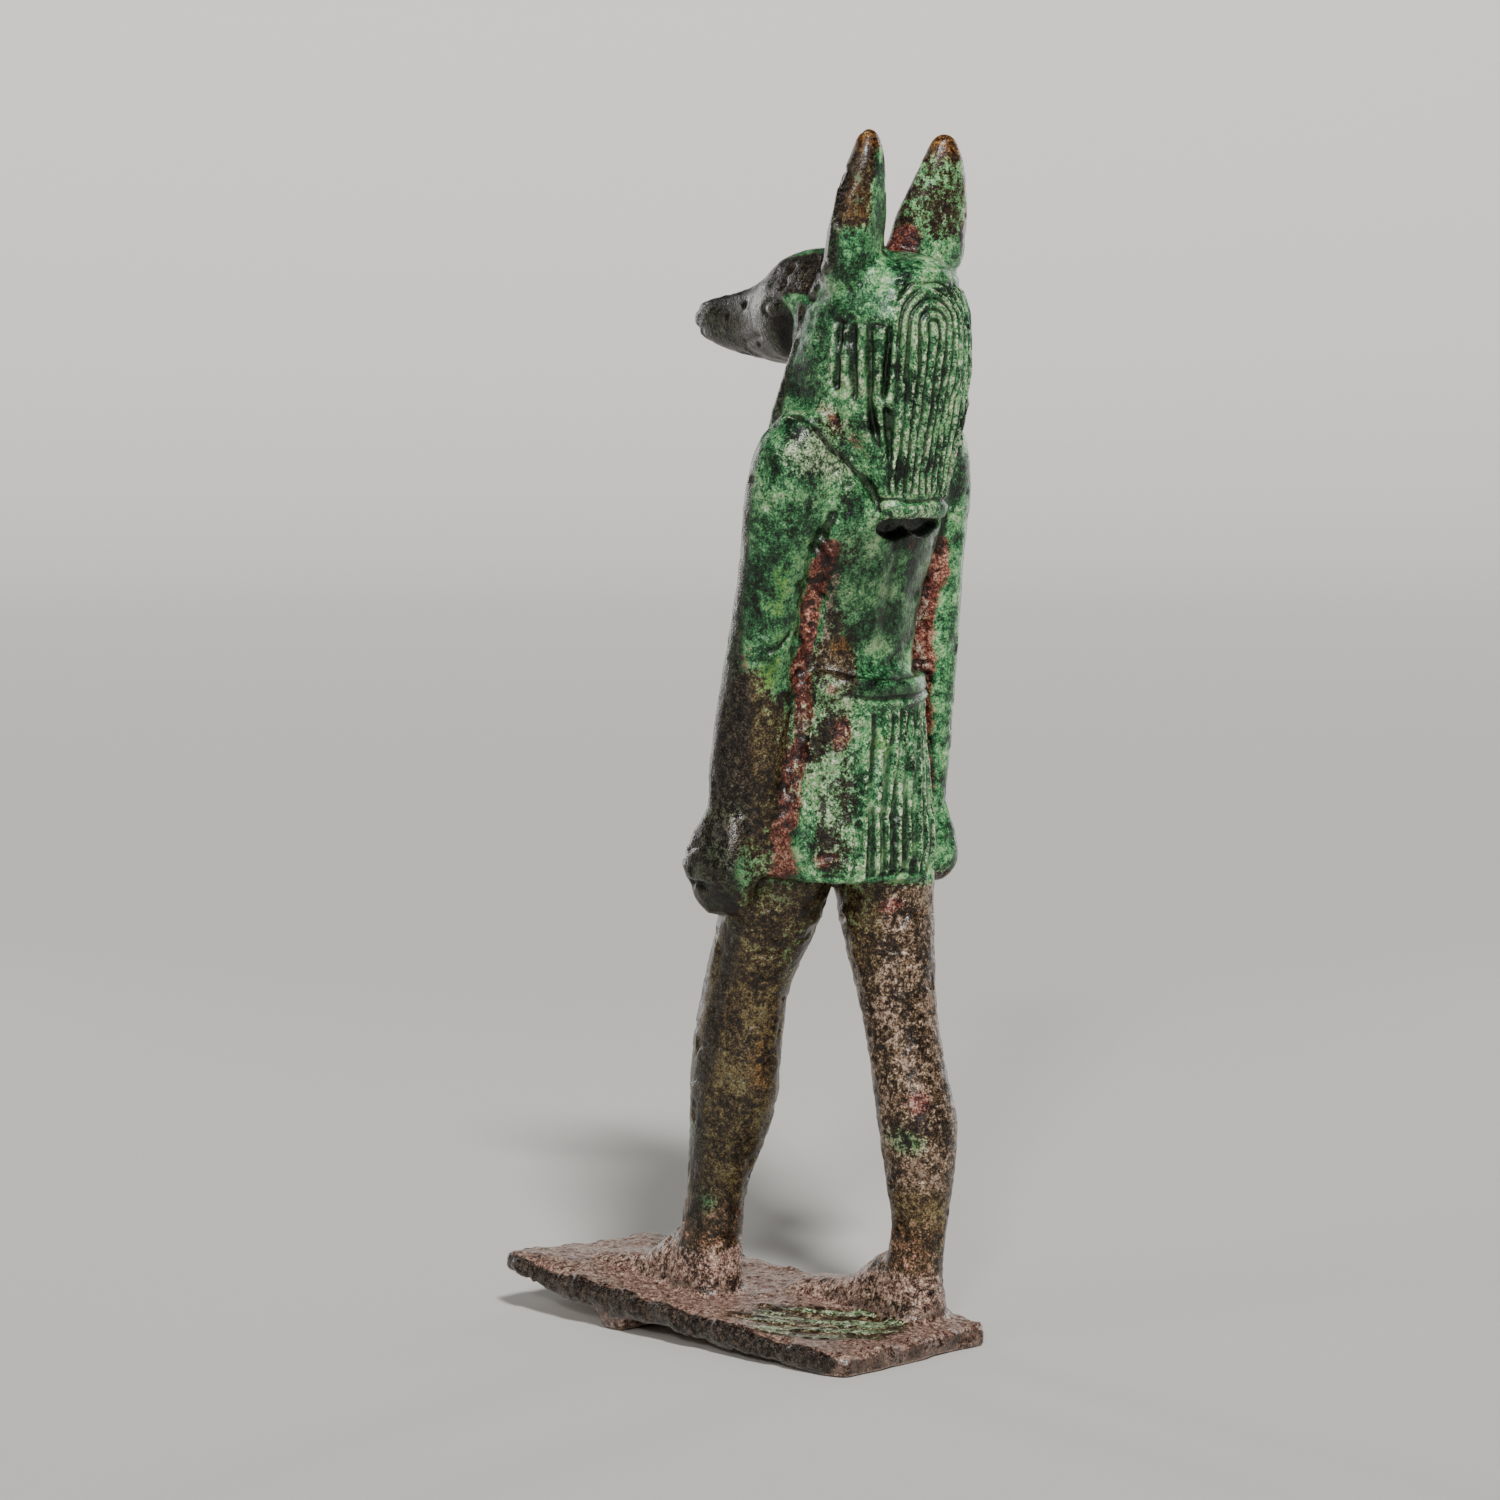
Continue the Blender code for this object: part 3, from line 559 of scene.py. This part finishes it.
# %% Masks for the parts of the figure
left_arm = fade(x, 8.5, 9.5) * fade(z, 40.0, 44.0) * (1 - fade(z, 90.0, 92.0))
forearm = left_arm * (1 - fade(z + 3.0 * wander[:, 0], 60.0, 69.0))
legs = 1 - fade(z, 43.0, 45.0)
on_plate = 1 - fade(z, 0.6, 2.4)
# The plate's side faces, found by their slope. Below they are made darker than its top: partly more bare
# metal and less sand, partly painted shade.
rim_face = on_plate * (1 - fade(np.abs(normals[:, 2]), 0.45, 0.75))
feet = 1 - fade(z, 3.5, 7.5)
face = (1 - fade(y + 0.35 * (z - 99.0), -6.6, -4.8)) * fade(z, 91.5, 93.0)
ears = fade(z, 103.6, 105.0) * (1 - face)
left_ear, right_ear = ears * fade(x, 0.0, 2.0), ears * (1 - fade(x, -2.0, 0.0))
left_side = fade(np.degrees(np.arctan2(x, y - HIPS_Y)), 26, 46)
left_hip = left_side * fade(z, 44, 46) * (1 - fade(z, 66, 69)) * (1 - left_arm)
left_leg = legs * (1 - feet) * fade(x, 0.5, 2.0)
ear_front = 1 - fade(y - 2.4 + 3.9 * fade(105.2 - z, 0.0, 3.0), -0.7, 0.3)
ear_front = ear_front * fade(z, 100.6, 101.6) * fade(np.abs(x), 2.0, 4.0)
dished = on_plate * (1 - rim_face) * (1 - fade(dish, 0.80, 1.05)) * (0.62 + 0.38 * fade(fibres, -0.3, 0.3))
print("share of legs and plate:", round(float(legs.mean()), 2), round(float(on_plate.mean()), 2))

# %% Green malachite
green = np.full(len(wax), 0.84)
green = over(green, legs, 0.20 + 0.12 * fade(z, 30.0, 40.0))
green = over(green, on_plate, 0.10)
green = over(green, face, 0.46)
green = over(green, left_ear, 0.34 + 0.45 * np.maximum(1 - fade(z, 106.0, 109.0), 1 - fade(x, 5.8, 7.0)))
green = over(green, right_ear, 0.46 + 0.22 * (1 - fade(z, 105.5, 108.0)))
green = over(green, fade(z, 114.0, 116.5), 0.22)
green = over(green, forearm, 0.36 - 0.10 * fade(z, 50.0, 56.0) + 0.40 * fade(y, 0.2, 1.8))
green = over(green, left_hip, 0.50)
green -= 0.40 * spot((8.4, 3.6, 88.8), (3.4, 3.4, 2.6)) + 0.34 * spot((9.0, 3.6, 82.2), (3.4, 2.4, 1.4))
green -= 0.30 * spot((13.0, -0.4, 85.6), (1.6, 2.0, 1.6))
green -= 0.36 * spot((6.6, 4.4, 77.0), (1.9, 2.4, 3.0))
green -= 0.42 * spot((5.8, 3.2, 69.0), (1.7, 2.2, 4.5))
green += 0.30 * spot((1.9, 6.8, 58.0), 2.4) + 0.30 * spot((14.4, -2.6, 44.6), (2.4, 3.0, 2.4))
green += 0.30 * spot((7.8, -9.0, 9.8), (1.8, 2.0, 2.2)) + 0.24 * spot((-4.2, 12.3, 6.8), (1.4, 1.6, 3.6))
green += 0.28 * spot((7.6, -11.0, 16.0), (1.6, 2.4, 2.6))
green += 0.40 * spot((-0.9, 10.0, 18.6), (2.2, 3.2, 1.9)) + 0.14 * spot((4.6, -2.6, 36.0), (2.4, 2.6, 4.0))
green = over(green, ear_front, 0.20)
green = over(green, dished, 0.40)
print("green on average:", round(float(green.mean()), 2))

# %% Bare metal
ARM_OUTSIDE = (
    (13.7, -2.5, 85.0), (13.7, -2.7, 75.4), (14.0, -3.0, 69.5), (14.4, -2.9, 61.7), (14.4, -3.7, 50.7),
)
LEG_OUTSIDE = ((8.0, -10.0, 6.0), (8.3, -9.6, 20.0), (8.4, -8.0, 30.0), (8.6, -5.5, 38.0))
side_in = np.minimum.reduce((PLATE_LEFT - x, x - PLATE_RIGHT, y - PLATE_FRONT))
bare = most(
    0.66 * face * (1 - fade(z, 101.0, 104.0) * 0.45),
    0.86 * line(RIM, 1.5, both=True),
    0.80 * forearm * (1 - fade(y, -1.6, 0.8)),
    0.50 * left_ear * fade(z, 106.5, 109.5) * fade(x, 6.2, 7.4),
    0.92 * ear_front,
    0.80 * line(EAR_EDGE, 1.3, both=True),
    0.80 * line(ARM_OUTSIDE, 1.7),
    0.50 * fade(-x, 12.4, 13.6) * fade(z, 46.0, 50.0),
    0.82 * (1 - fade(side_in, 0.3, 1.3)) * on_plate,
    0.50 * rim_face,
    0.66 * (1 - feet) * line(LEG_OUTSIDE, 2.0),
    0.38 * legs * (1 - feet),
)
print("bare on average:", round(float(bare.mean()), 2))

# %% Red cuprite
webs = np.maximum(line(LEFT_WEB, 1.25), line(RIGHT_WEB, 1.6))
NECK = ((9.0, 1.4, 91.0), (8.4, 3.4, 89.6), (7.2, 5.2, 88.0), (6.6, 6.0, 86.4))
red = 0.95 * webs * (1 - fade(z, 77.4, 78.6))
RED_SPOTS = (
    ((-1.5, 2.0, 106.6), (2.3, 2.4, 2.3), 0.92),
    ((6.4, 4.8, 59.0), (1.6, 1.6, 2.8), 0.75),
    ((8.4, 5.4, 46.8), (2.2, 2.0, 1.3), 0.85),
    ((-1.0, 6.5, 41.4), (2.0, 2.0, 1.2), 0.80),
    ((-1.5, 10.8, 22.4), (1.6, 2.0, 2.0), 0.80),
    ((-1.5, 5.8, 77.6), 1.0, 0.85),
    ((7.4, 4.4, 63.4), (1.6, 1.6, 1.2), 0.60),
    ((9.6, 1.0, 45.5), (1.6, 2.4, 3.0), 0.80),
    ((13.8, -1.6, 66.0), (1.2, 1.6, 2.6), 0.50),
    ((6.8, 6.6, 89.0), (1.2, 1.2, 3.0), 0.48),
    ((-6.0, -4.0, 88.0), (3.0, 3.0, 4.0), 0.45),
    ((-6.0, -6.0, 52.0), (3.0, 3.0, 4.0), 0.50),
    ((-4.2, 8.0, 6.0), (2.6, 4.0, 5.0), 0.45),
)
red = most(
    dabbed(red, RED_SPOTS),
    (0.50 + 0.30 * rough(wax, 1.4, 90)) * line(NECK, 1.1),
    0.40 * on_plate * (1 - fade(bare, 0.4, 0.8)),
    0.44 * legs * (1 - fade(z, 8.0, 16.0)) * (1 - on_plate),
)
print("red on average:", round(float(red.mean()), 2))

# %% Sand-coloured earth
BESIDE_RIGHT_WEB = ((-8.1, 2.0, 72.0), (-8.1, 1.6, 68.4), (-8.6, 1.9, 65.7), (-8.9, 1.8, 60.0))
BESIDE_LEFT_WEB = ((6.9, 3.2, 74.0), (6.6, 2.8, 71.4), (6.6, 2.4, 67.0))
sand = most(
    0.72 * on_plate * (1 - fade(bare, 0.3, 0.7)) * (1 - 0.8 * dished) * (1 - 0.5 * rim_face),
    0.60 * feet * (1 - dished),
    0.62 * line(BESIDE_RIGHT_WEB, 0.9),
    0.58 * line(BESIDE_LEFT_WEB, 1.0),
    0.36 * legs * (1 - fade(z, 4.0, 12.0)),
    0.46 * legs * (1 - fade(x, -0.5, 1.0)) * fade(z, 10.0, 14.0),
    0.40 * left_hip,
    0.48 * spot((8.4, 3.6, 89.0), (3.0, 3.0, 2.0)),
    0.56 * spot((-1.6, 6.0, 30.0), (3.0, 4.0, 7.0)),
)
print("sand on average:", round(float(sand.mean()), 2))

# %% Pale crust
carved = (0.18 * on_wig + 0.26 * on_kilt) * (1 - groove)
pale = 0.20 + 0.24 * ridge * (1 - legs) * (1 - on_plate) + carved
PALE_SPOTS = (
    ((11.0, 3.2, 86.4), (4.4, 3.8, 3.6), 0.80),
    ((8.4, 4.0, 85.0), (3.4, 2.8, 3.0), 0.76),
    ((9.0, 2.6, 90.6), (3.0, 3.0, 1.8), 0.58),
    ((7.4, 4.6, 88.4), (2.4, 2.4, 2.4), 0.50),
    ((7.0, 4.8, 82.7), (1.6, 1.6, 1.6), 0.62),
    ((9.4, 1.8, 90.6), (2.4, 2.0, 1.4), 0.55),
    ((-8.3, 1.7, 68.4), (1.0, 1.6, 4.5), 0.56),
    ((6.4, 3.0, 70.6), (1.0, 1.6, 3.6), 0.50),
    ((6.0, 5.0, 63.0), (3.6, 3.0, 2.0), 0.50),
    ((1.2, 7.6, 80.9), (5.6, 3.0, 0.8), 0.74),
    ((3.4, 6.4, 68.0), (3.6, 2.0, 1.8), 0.48),
    ((5.0, 5.4, 61.4), (3.2, 2.4, 1.4), 0.52),
    ((4.6, 8.6, 100.8), (2.6, 2.6, 1.6), 0.52),
    ((7.2, 4.0, 100.2), (2.2, 3.4, 1.2), 0.42),
    ((-3.4, 5.4, 106.0), (3.4, 3.0, 2.4), 0.62),
    ((-4.6, 4.4, 109.6), (2.4, 2.0, 3.0), 0.50),
    ((7.6, 3.6, 55.6), 1.0, 0.55),
    ((-2.0, 8.2, 52.0), (5.0, 2.6, 9.0), 0.42),
    ((-12.6, 2.6, 50.0), (2.0, 3.0, 4.0), 0.40),
)
pale = most(dabbed(pale, PALE_SPOTS), 0.64 * dished)
pale = pale * (1 - 0.8 * face) * (1 - 0.5 * legs * (1 - on_plate))
lower_ridge, upper_ridge = level_line(belt_z, -1.15, 0.40), level_line(belt_z, 1.05, 0.30)
belt_ridges = most(0.52 * hips * lower_ridge, 0.46 * hips * upper_ridge)
pale = most(pale, belt_ridges)
print("pale on average:", round(float(pale.mean()), 2))

# %% Ochre
ochre = 0.18 + 0.06 * legs + 0.05 * left_hip + 0.45 * fade(z, 114.5, 116.5)
OCHRE_SPOTS = (
    ((-7.4, 4.6, 111.5), (1.7, 2.4, 4.8), 0.95),
    ((-5.0, 4.6, 112.0), (2.6, 2.0, 3.0), 0.52),
    ((-5.0, 3.8, 116.5), (1.6, 2.0, 1.6), 0.80),
    ((8.2, 4.4, 105.6), (2.0, 2.0, 1.6), 0.55),
    ((8.0, 4.6, 115.5), (2.0, 2.0, 2.0), 0.60),
    ((8.4, 4.4, 110.5), (2.2, 2.4, 4.0), 0.60),
    ((9.2, 3.8, 81.9), (2.0, 1.6, 1.2), 0.75),
    ((6.4, 4.9, 79.4), (2.0, 1.6, 1.8), 0.60),
    ((5.2, 3.6, 67.4), (1.6, 1.6, 2.2), 0.75),
    ((12.8, 0.6, 65.0), (1.8, 2.0, 2.2), 0.55),
    ((13.0, -1.0, 56.0), (1.6, 1.4, 6.0), 0.50),
    ((14.4, -0.6, 44.6), (2.2, 2.4, 1.4), 0.55),
    ((6.0, -3.6, 24.0), (2.4, 2.4, 7.0), 0.50),
    ((13.4, -16.0, 0.0), (1.2, 14.0, 1.0), 0.72),
    ((12.9, 8.0, -0.2), (1.4, 6.0, 1.0), 0.66),
    ((-0.9, 10.2, 18.4), (2.0, 3.0, 1.8), 0.45),
    ((0.2, 8.4, 103.4), (5.0, 2.0, 0.8), 0.40),
)
ochre = dabbed(ochre, OCHRE_SPOTS)
print("ochre on average:", round(float(ochre.mean()), 2))

# %% Vivid green, and painted shade with darker patina
vivid = 0.47 * spot((12.7, 1.4, 73.0), (2.8, 3.2, 8.0)) + 0.42 * spot((12.6, 0.6, 64.5), (1.6, 1.8, 2.6))
vivid = vivid + 0.65 * spot((-0.9, 10.2, 18.8), (1.8, 2.6, 1.7))
vivid = dabbed(vivid, (((2.2, 7.0, 57.6), 2.2, 0.60), ((0.0, 8.6, 48.0), (6.0, 3.0, 4.0), 0.50)))
small_of_back = 0.92 * fade(y, 1.0, 3.0) * fade(z, 65.0, 68.0)
small_of_back = small_of_back * (1 - fade(z, 78.0, 81.0)) * (1 - fade(np.abs(x), 7.0, 8.5))
# Painted shade with darker patina: the small of the back, the left arm, the face, the left leg and hip, the
# wig's left side, the plate's side faces, a spot on the head beside the rim and the hollow under the left
# fist are darkened as if in shade. On the face and the forearm part of it is the darker patina.
deep = most(
    small_of_back,
    0.55 * left_arm * (1 - fade(z, 82.0, 86.0)),
    face,
    (0.40 + 0.30 * (1 - fade(z, 18.0, 32.0))) * left_leg,
    0.34 * left_hip,
    0.30 * on_wig * fade(x, 4.5, 6.5),
    0.42 * rim_face,
    0.80 * spot((8.6, 0.6, 95.0), (1.8, 2.4, 6.0)),
    0.80 * spot((14.0, -1.8, 42.6), (2.4, 2.6, 1.6)),
)
print("vivid and deep on average:", round(float(vivid.mean()), 2), round(float(deep.mean()), 2))

# %% Write the maps on the skin
maps = dict(
    green=green, bare=bare, red=red, pale=pale, ochre=ochre,
    sand=sand, vivid=vivid, deep=deep, dirt_and_painted_shade=dirt_and_painted_shade,
)
for name, values in maps.items():
    layer = skin.data.attributes.new(name, "FLOAT", "POINT")
    layer.data.foreach_set("value", np.clip(values, 0, 1).astype(np.float32))
print({name: round(float(values.mean()), 2) for name, values in maps.items()})

# %% [markdown]
# ## Fewer faces
# The even skin has more faces than it needs on the plain parts. Decimate's collapse takes them
# out there first and keeps them on the carving.

# %% Thin out the skin
MOST_TRIANGLES = 194_000
triangles = sum(len(face.vertices) - 2 for face in skin.data.polygons)
if triangles > MOST_TRIANGLES:
    fewer = skin.modifiers.new("Fewer", "DECIMATE")
    fewer.ratio = MOST_TRIANGLES / triangles
    fewer.use_collapse_triangulate = True
    settle(skin)
skin.data.shade_smooth()
left_over = sum(len(face.vertices) - 2 for face in skin.data.polygons)
print("skin:", triangles, "triangles, now", left_over)
print("its layers:", [layer.name for layer in skin.data.attributes])

# %% [markdown]
# ## Patinated bronze
# The material is leaded bronze, cast and long buried. Its skin is layered: dark metal, brown
# tenorite and red cuprite next to it, green malachite over them, and a pale chalky crust on top.
# Every layer is mixed in by its map plus noise, so that its border breaks up into specks of
# 0.2 to 3 mm. Minerals aren't metallic, but they are dense and have a gloss; bare metal is.

# %% Colours and the node helper
def linear(code):
    """An sRGB hex colour as the linear red, green, blue and alpha that Blender wants."""
    parts = [int(code[k : k + 2], 16) / 255 for k in (1, 3, 5)]
    return (*(c / 12.92 if c <= 0.04045 else ((c + 0.055) / 1.055) ** 2.4 for c in parts), 1.0)


def per_metre(size_mm):
    """A texture's scale for features of that size."""
    return 1000.0 / size_mm


def add(kind, inputs=None, out=0, **settings):
    """Adds one node with its settings and links, and gives its output for another node's input."""
    made = nodes.new(kind)
    for name, value in settings.items():
        setattr(made, name, value)
    for socket, value in (inputs or {}).items():
        if isinstance(value, bpy.types.NodeSocket):
            links.new(value, made.inputs[socket])
        else:
            made.inputs[socket].default_value = value
    return made.outputs[out] if made.outputs else None


def stops(ramp, *colours):
    """Sets a colour ramp's stops, each a place and a hex colour."""
    band = ramp.node.color_ramp
    while len(band.elements) < len(colours):
        band.elements.new(0.5)
    for element, (place, code) in zip(band.elements, colours):
        element.position = place
        element.color = linear(code)
    return ramp


bronze = bpy.data.materials.new("leaded_bronze_cast_and_buried")
bronze.use_nodes = True
nodes, links = bronze.node_tree.nodes, bronze.node_tree.links
nodes.clear()
print("malachite in linear light:", [round(c, 3) for c in linear("#3f8a58")])

# %% Three noises and a cell pattern for pits
here = add("ShaderNodeTexCoord", out="Object")
NOISES = ((3.2, 5.0, 0.62), (0.62, 4.0, 0.68), (0.19, 2.0, 0.6))  # size in mm, detail and roughness
patches, flecks, grits = (
    add(
        "ShaderNodeTexNoise",
        {"Vector": here, "Scale": per_metre(size_mm), "Detail": detail, "Roughness": roughness},
        out="Fac",
    )
    for size_mm, detail, roughness in NOISES
)
PIT_SPACING = 0.55
pit_cells = add(
    "ShaderNodeTexVoronoi",
    {"Vector": here, "Scale": per_metre(PIT_SPACING), "Randomness": 1.0},
    out="Distance",
)
maps_read = {name: add("ShaderNodeAttribute", out="Fac", attribute_name=name) for name in maps}


def weighted(*terms):
    """A sum of values, each times its weight."""
    total = 0.0
    for value, weight in terms:
        total = add("ShaderNodeMath", {0: value, 1: weight, 2: total}, operation="MULTIPLY_ADD")
    return total


def layer_mask(level, noises, low, high):
    """A map plus weighted noises, each centred on 0, cut to a mask between low and high."""
    for noise, weight in noises:
        lowered = add("ShaderNodeMath", {0: level, 1: -weight / 2}, operation="ADD")
        level = add("ShaderNodeMath", {0: noise, 1: weight, 2: lowered}, operation="MULTIPLY_ADD")
    span = {"Value": level, "From Min": low, "From Max": high}
    return add("ShaderNodeMapRange", span, out="Result", interpolation_type="SMOOTHSTEP")


def covered(colour, layers):
    """The colour with others laid over it, each a mask, how much it hides, and a colour."""
    for mask, hides, above in layers:
        share = add("ShaderNodeMath", {0: mask, 1: hides}, operation="MULTIPLY")
        colour = add("ShaderNodeMix", {0: share, 6: colour, 7: above}, out=2, data_type="RGBA")
    return colour


speckle = weighted((grits, 0.45), (flecks, 0.55))
earth_tone = weighted((speckle, 0.70), (patches, 0.30))
print("nodes so far:", len(nodes))

# %% Brown, green, red and pale layers
brown = stops(
    add("ShaderNodeValToRGB", {0: earth_tone}),
    (0.42, "#080403"), (0.47, "#291a0f"), (0.51, "#483823"), (0.55, "#705f3c"), (0.61, "#a59560"),
)
ochre_ramp = stops(
    add("ShaderNodeValToRGB", {0: speckle}),
    (0.40, "#150b05"), (0.46, "#3f2510"), (0.54, "#74491d"), (0.63, "#ad8548"),
)
green_tone = weighted((speckle, 0.55), (patches, 0.45))
green_ramp = stops(
    add("ShaderNodeValToRGB", {0: green_tone}),
    (0.41, "#050b06"), (0.455, "#14351c"), (0.495, "#2e663d"), (0.54, "#63a066"), (0.61, "#b6d39b"),
)
vivid_ramp = stops(
    add("ShaderNodeValToRGB", {0: green_tone}),
    (0.41, "#0a1408"), (0.46, "#1d431b"), (0.53, "#477f39"), (0.62, "#94b95e"),
)
red_ramp = stops(
    add("ShaderNodeValToRGB", {0: earth_tone}),
    (0.42, "#150607"), (0.47, "#431a16"), (0.53, "#7a402f"), (0.60, "#c09580"),
)
sand_ramp = stops(
    add("ShaderNodeValToRGB", {0: speckle}),
    (0.40, "#2b1a16"), (0.47, "#6a4c41"), (0.54, "#997c6d"), (0.62, "#cdb7a5"),
)
pale_ramp = stops(
    add("ShaderNodeValToRGB", {0: speckle}),
    (0.40, "#1e3020"), (0.47, "#526f4a"), (0.54, "#9db287"), (0.62, "#dfe2c6"),
)
ochre_mask = layer_mask(maps_read["ochre"], ((patches, 0.9), (flecks, 0.5)), 0.38, 0.62)
green_mask = layer_mask(maps_read["green"], ((patches, 0.8), (flecks, 1.0), (grits, 0.4)), 0.40, 0.57)
vivid_mask = layer_mask(maps_read["vivid"], ((patches, 0.9), (flecks, 0.7)), 0.34, 0.60)
red_mask = layer_mask(maps_read["red"], ((patches, 0.6), (flecks, 0.9), (grits, 0.4)), 0.42, 0.62)
sand_mask = layer_mask(maps_read["sand"], ((patches, 0.6), (flecks, 0.8), (grits, 0.3)), 0.40, 0.66)
pale_mask = layer_mask(maps_read["pale"], ((patches, 0.7), (flecks, 0.8), (grits, 0.4)), 0.44, 0.74)
greens = covered(green_ramp, ((vivid_mask, 1.0, vivid_ramp),))
LAYERS = (
    (ochre_mask, 1.0, ochre_ramp),
    (green_mask, 1.0, greens),
    (red_mask, 1.0, red_ramp),
    (sand_mask, 1.0, sand_ramp),
    (pale_mask, 1.0, pale_ramp),
    # painted shade with darker patina: a dark green-black laid over
    (maps_read["deep"], 0.62, linear("#0b0f06")),
)
colour = covered(brown, LAYERS)
print("layers over the brown:", len(LAYERS))

# %% Dark metal, dirt and painted shade in the creases, and pits over the colour
bare_mask = layer_mask(maps_read["bare"], ((patches, 0.6), (flecks, 0.6), (grits, 0.3)), 0.42, 0.66)
metal_ramp = stops(
    add("ShaderNodeValToRGB", {0: speckle}),
    (0.42, "#050504"), (0.49, "#1b1611"), (0.60, "#494138"),
)
dirt_and_painted_shade_mask = layer_mask(maps_read["dirt_and_painted_shade"], ((flecks, 0.6), (grits, 0.3)), 0.10, 0.62)
pit_span = {"Value": pit_cells, "From Min": 0.0, "From Max": 0.45}
pit_edge = add("ShaderNodeMapRange", pit_span, out="Result", interpolation_type="SMOOTHSTEP")
pit_inside = add("ShaderNodeMath", {0: 1.0, 1: pit_edge}, operation="SUBTRACT")
pit_here = layer_mask(patches, ((flecks, 0.8),), 0.50, 0.62)
pit = add("ShaderNodeMath", {0: pit_inside, 1: pit_here}, operation="MULTIPLY")
DARKS = (
    (bare_mask, 0.88, metal_ramp),
    # The creases get dirt and painted shade: a near-black laid over by that map.
    (dirt_and_painted_shade_mask, 0.86, linear("#0b0806")),
    (pit, 0.55, linear("#120c09")),
)
colour = covered(colour, DARKS)
print("nodes so far:", len(nodes))

# %% Gloss, bump and the finished bronze
relief = weighted((pit, -0.5), (grits, 0.35), (flecks, 0.6))
bump = add("ShaderNodeBump", {"Strength": 1.0, "Distance": 0.20 * MM, "Height": relief})
coat_bump = add("ShaderNodeBump", {"Strength": 1.0, "Distance": 0.06 * MM, "Height": relief})
gloss_span = {"Value": speckle, "From Min": 0.40, "From Max": 0.62, "To Min": 0.26, "To Max": 0.46}
gloss = add("ShaderNodeMapRange", gloss_span, out="Result")
shader = add(
    "ShaderNodeBsdfPrincipled",
    {
        "Base Color": colour,
        "Metallic": add("ShaderNodeMath", {0: bare_mask, 1: 0.40, 2: 0.10}, operation="MULTIPLY_ADD"),
        "Roughness": add("ShaderNodeMath", {0: bare_mask, 1: -0.07, 2: gloss}, operation="MULTIPLY_ADD"),
        "Normal": bump,
        "Specular IOR Level": 0.20,
        "Coat Weight": 0.35,
        "Coat Roughness": 0.18,
        "Coat Normal": coat_bump,
    },
)
add("ShaderNodeOutputMaterial", {"Surface": shader})
skin.data.materials.clear()
skin.data.materials.append(bronze)
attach(skin, "root")
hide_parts("anubis_figure")
print("material has", len(nodes), "nodes")

# %% [markdown]
# ## Floor and light
# A museum would light this small bronze so that its relief reads and its edges gleam. A tall strip
# box stands behind it on each side for the gleam. A soft sun lamp high beside the camera models it.
# A lower, smaller one puts glints on the calf and ears, and a weak one opens the shadows. A sun
# lights the floor evenly, which an area lamp doesn't. The floor is a wide, pale, matt dish, and its
# turned-up rim hides the horizon from every side.


# %% Floor with a turned-up rim
def plain_material(name, code, roughness):
    made = bpy.data.materials.new(name)
    made.use_nodes = True
    made.node_tree.nodes["Principled BSDF"].inputs["Base Color"].default_value = linear(code)
    made.node_tree.nodes["Principled BSDF"].inputs["Roughness"].default_value = roughness
    return made


FLAT, RIM_CURVE = 1.6, 0.9  # radii of the flat middle and of the rim's curve, in metres
bends = np.radians(range(5, 85, 5))
profile = [(0.0, 0.0), (FLAT, 0.0)]
profile += [(FLAT + RIM_CURVE * math.sin(a), RIM_CURVE - RIM_CURVE * math.cos(a)) for a in bends]
floor_shape = bmesh.new()
rim = [floor_shape.verts.new((across, 0.0, up)) for across, up in profile]
spokes = [floor_shape.edges.new(pair) for pair in zip(rim, rim[1:])]
bmesh.ops.spin(
    floor_shape, geom=rim + spokes, cent=(0, 0, 0), axis=(0, 0, 1), angle=math.tau, steps=96, use_merge=True
)
bmesh.ops.remove_doubles(floor_shape, verts=floor_shape.verts, dist=1e-5)
bmesh.ops.recalc_face_normals(floor_shape, faces=floor_shape.faces)
floor_mesh = bpy.data.meshes.new("floor")
floor_shape.to_mesh(floor_mesh)
floor_shape.free()
floor_mesh.shade_smooth()
floor = bpy.data.objects.new("floor", floor_mesh)
floor.data.materials.append(plain_material("matt_paper_floor", "#cfccc6", 0.9))
bpy.context.scene.collection.objects.link(floor)
print("floor is", round(2 * max(across for across, up in profile), 1), "m across")


# %% Lamps and sky
STRIP_DISTANCE = 0.48
BEHIND_DEG = 144  # from the camera, round to each side


def placed(name, light, round_deg, up_deg, distance):
    """Stands a lamp at an angle round the figure, facing its middle."""
    a, u = math.radians(round_deg), math.radians(up_deg)
    way = Vector((math.sin(a) * math.cos(u), -math.cos(a) * math.cos(u), math.sin(u)))
    made = bpy.data.objects.new(name, light)
    made.location = Vector((0, 0, 60 * MM)) + way * distance
    made.rotation_euler = way.to_track_quat("Z", "Y").to_euler()
    made.visible_camera = False
    bpy.context.scene.collection.objects.link(made)


def sun(name, round_deg, up_deg, width_deg, strength):
    light = bpy.data.lights.new(name, "SUN")
    light.angle = math.radians(width_deg)
    light.energy = strength
    placed(name, light, round_deg, up_deg, 1.0)


def strip(name, round_deg, up_deg, watts):
    """A tall narrow soft box, 4 by 40 cm."""
    light = bpy.data.lights.new(name, "AREA")
    light.shape = "RECTANGLE"
    light.size, light.size_y = 0.04, 0.40
    light.energy = watts
    light.spread = math.radians(70)
    placed(name, light, round_deg, up_deg, STRIP_DISTANCE)


strip("edge_light_left", ROUND_DEG - BEHIND_DEG, 10, 0.075)
strip("edge_light_right", ROUND_DEG + BEHIND_DEG, 10, 0.08)
sun("key_light", ROUND_DEG + 12, 42, 8, 3.6)
sun("left_fill", ROUND_DEG - 60, 34, 30, 0.3)
sun("glint_light", ROUND_DEG - 8, 24, 5, 0.9)
world = bpy.data.worlds.new("studio")
world.use_nodes = True
world.node_tree.nodes["Background"].inputs["Color"].default_value = linear("#e6e6e4")
world.node_tree.nodes["Background"].inputs["Strength"].default_value = 0.12
bpy.context.scene.world = world
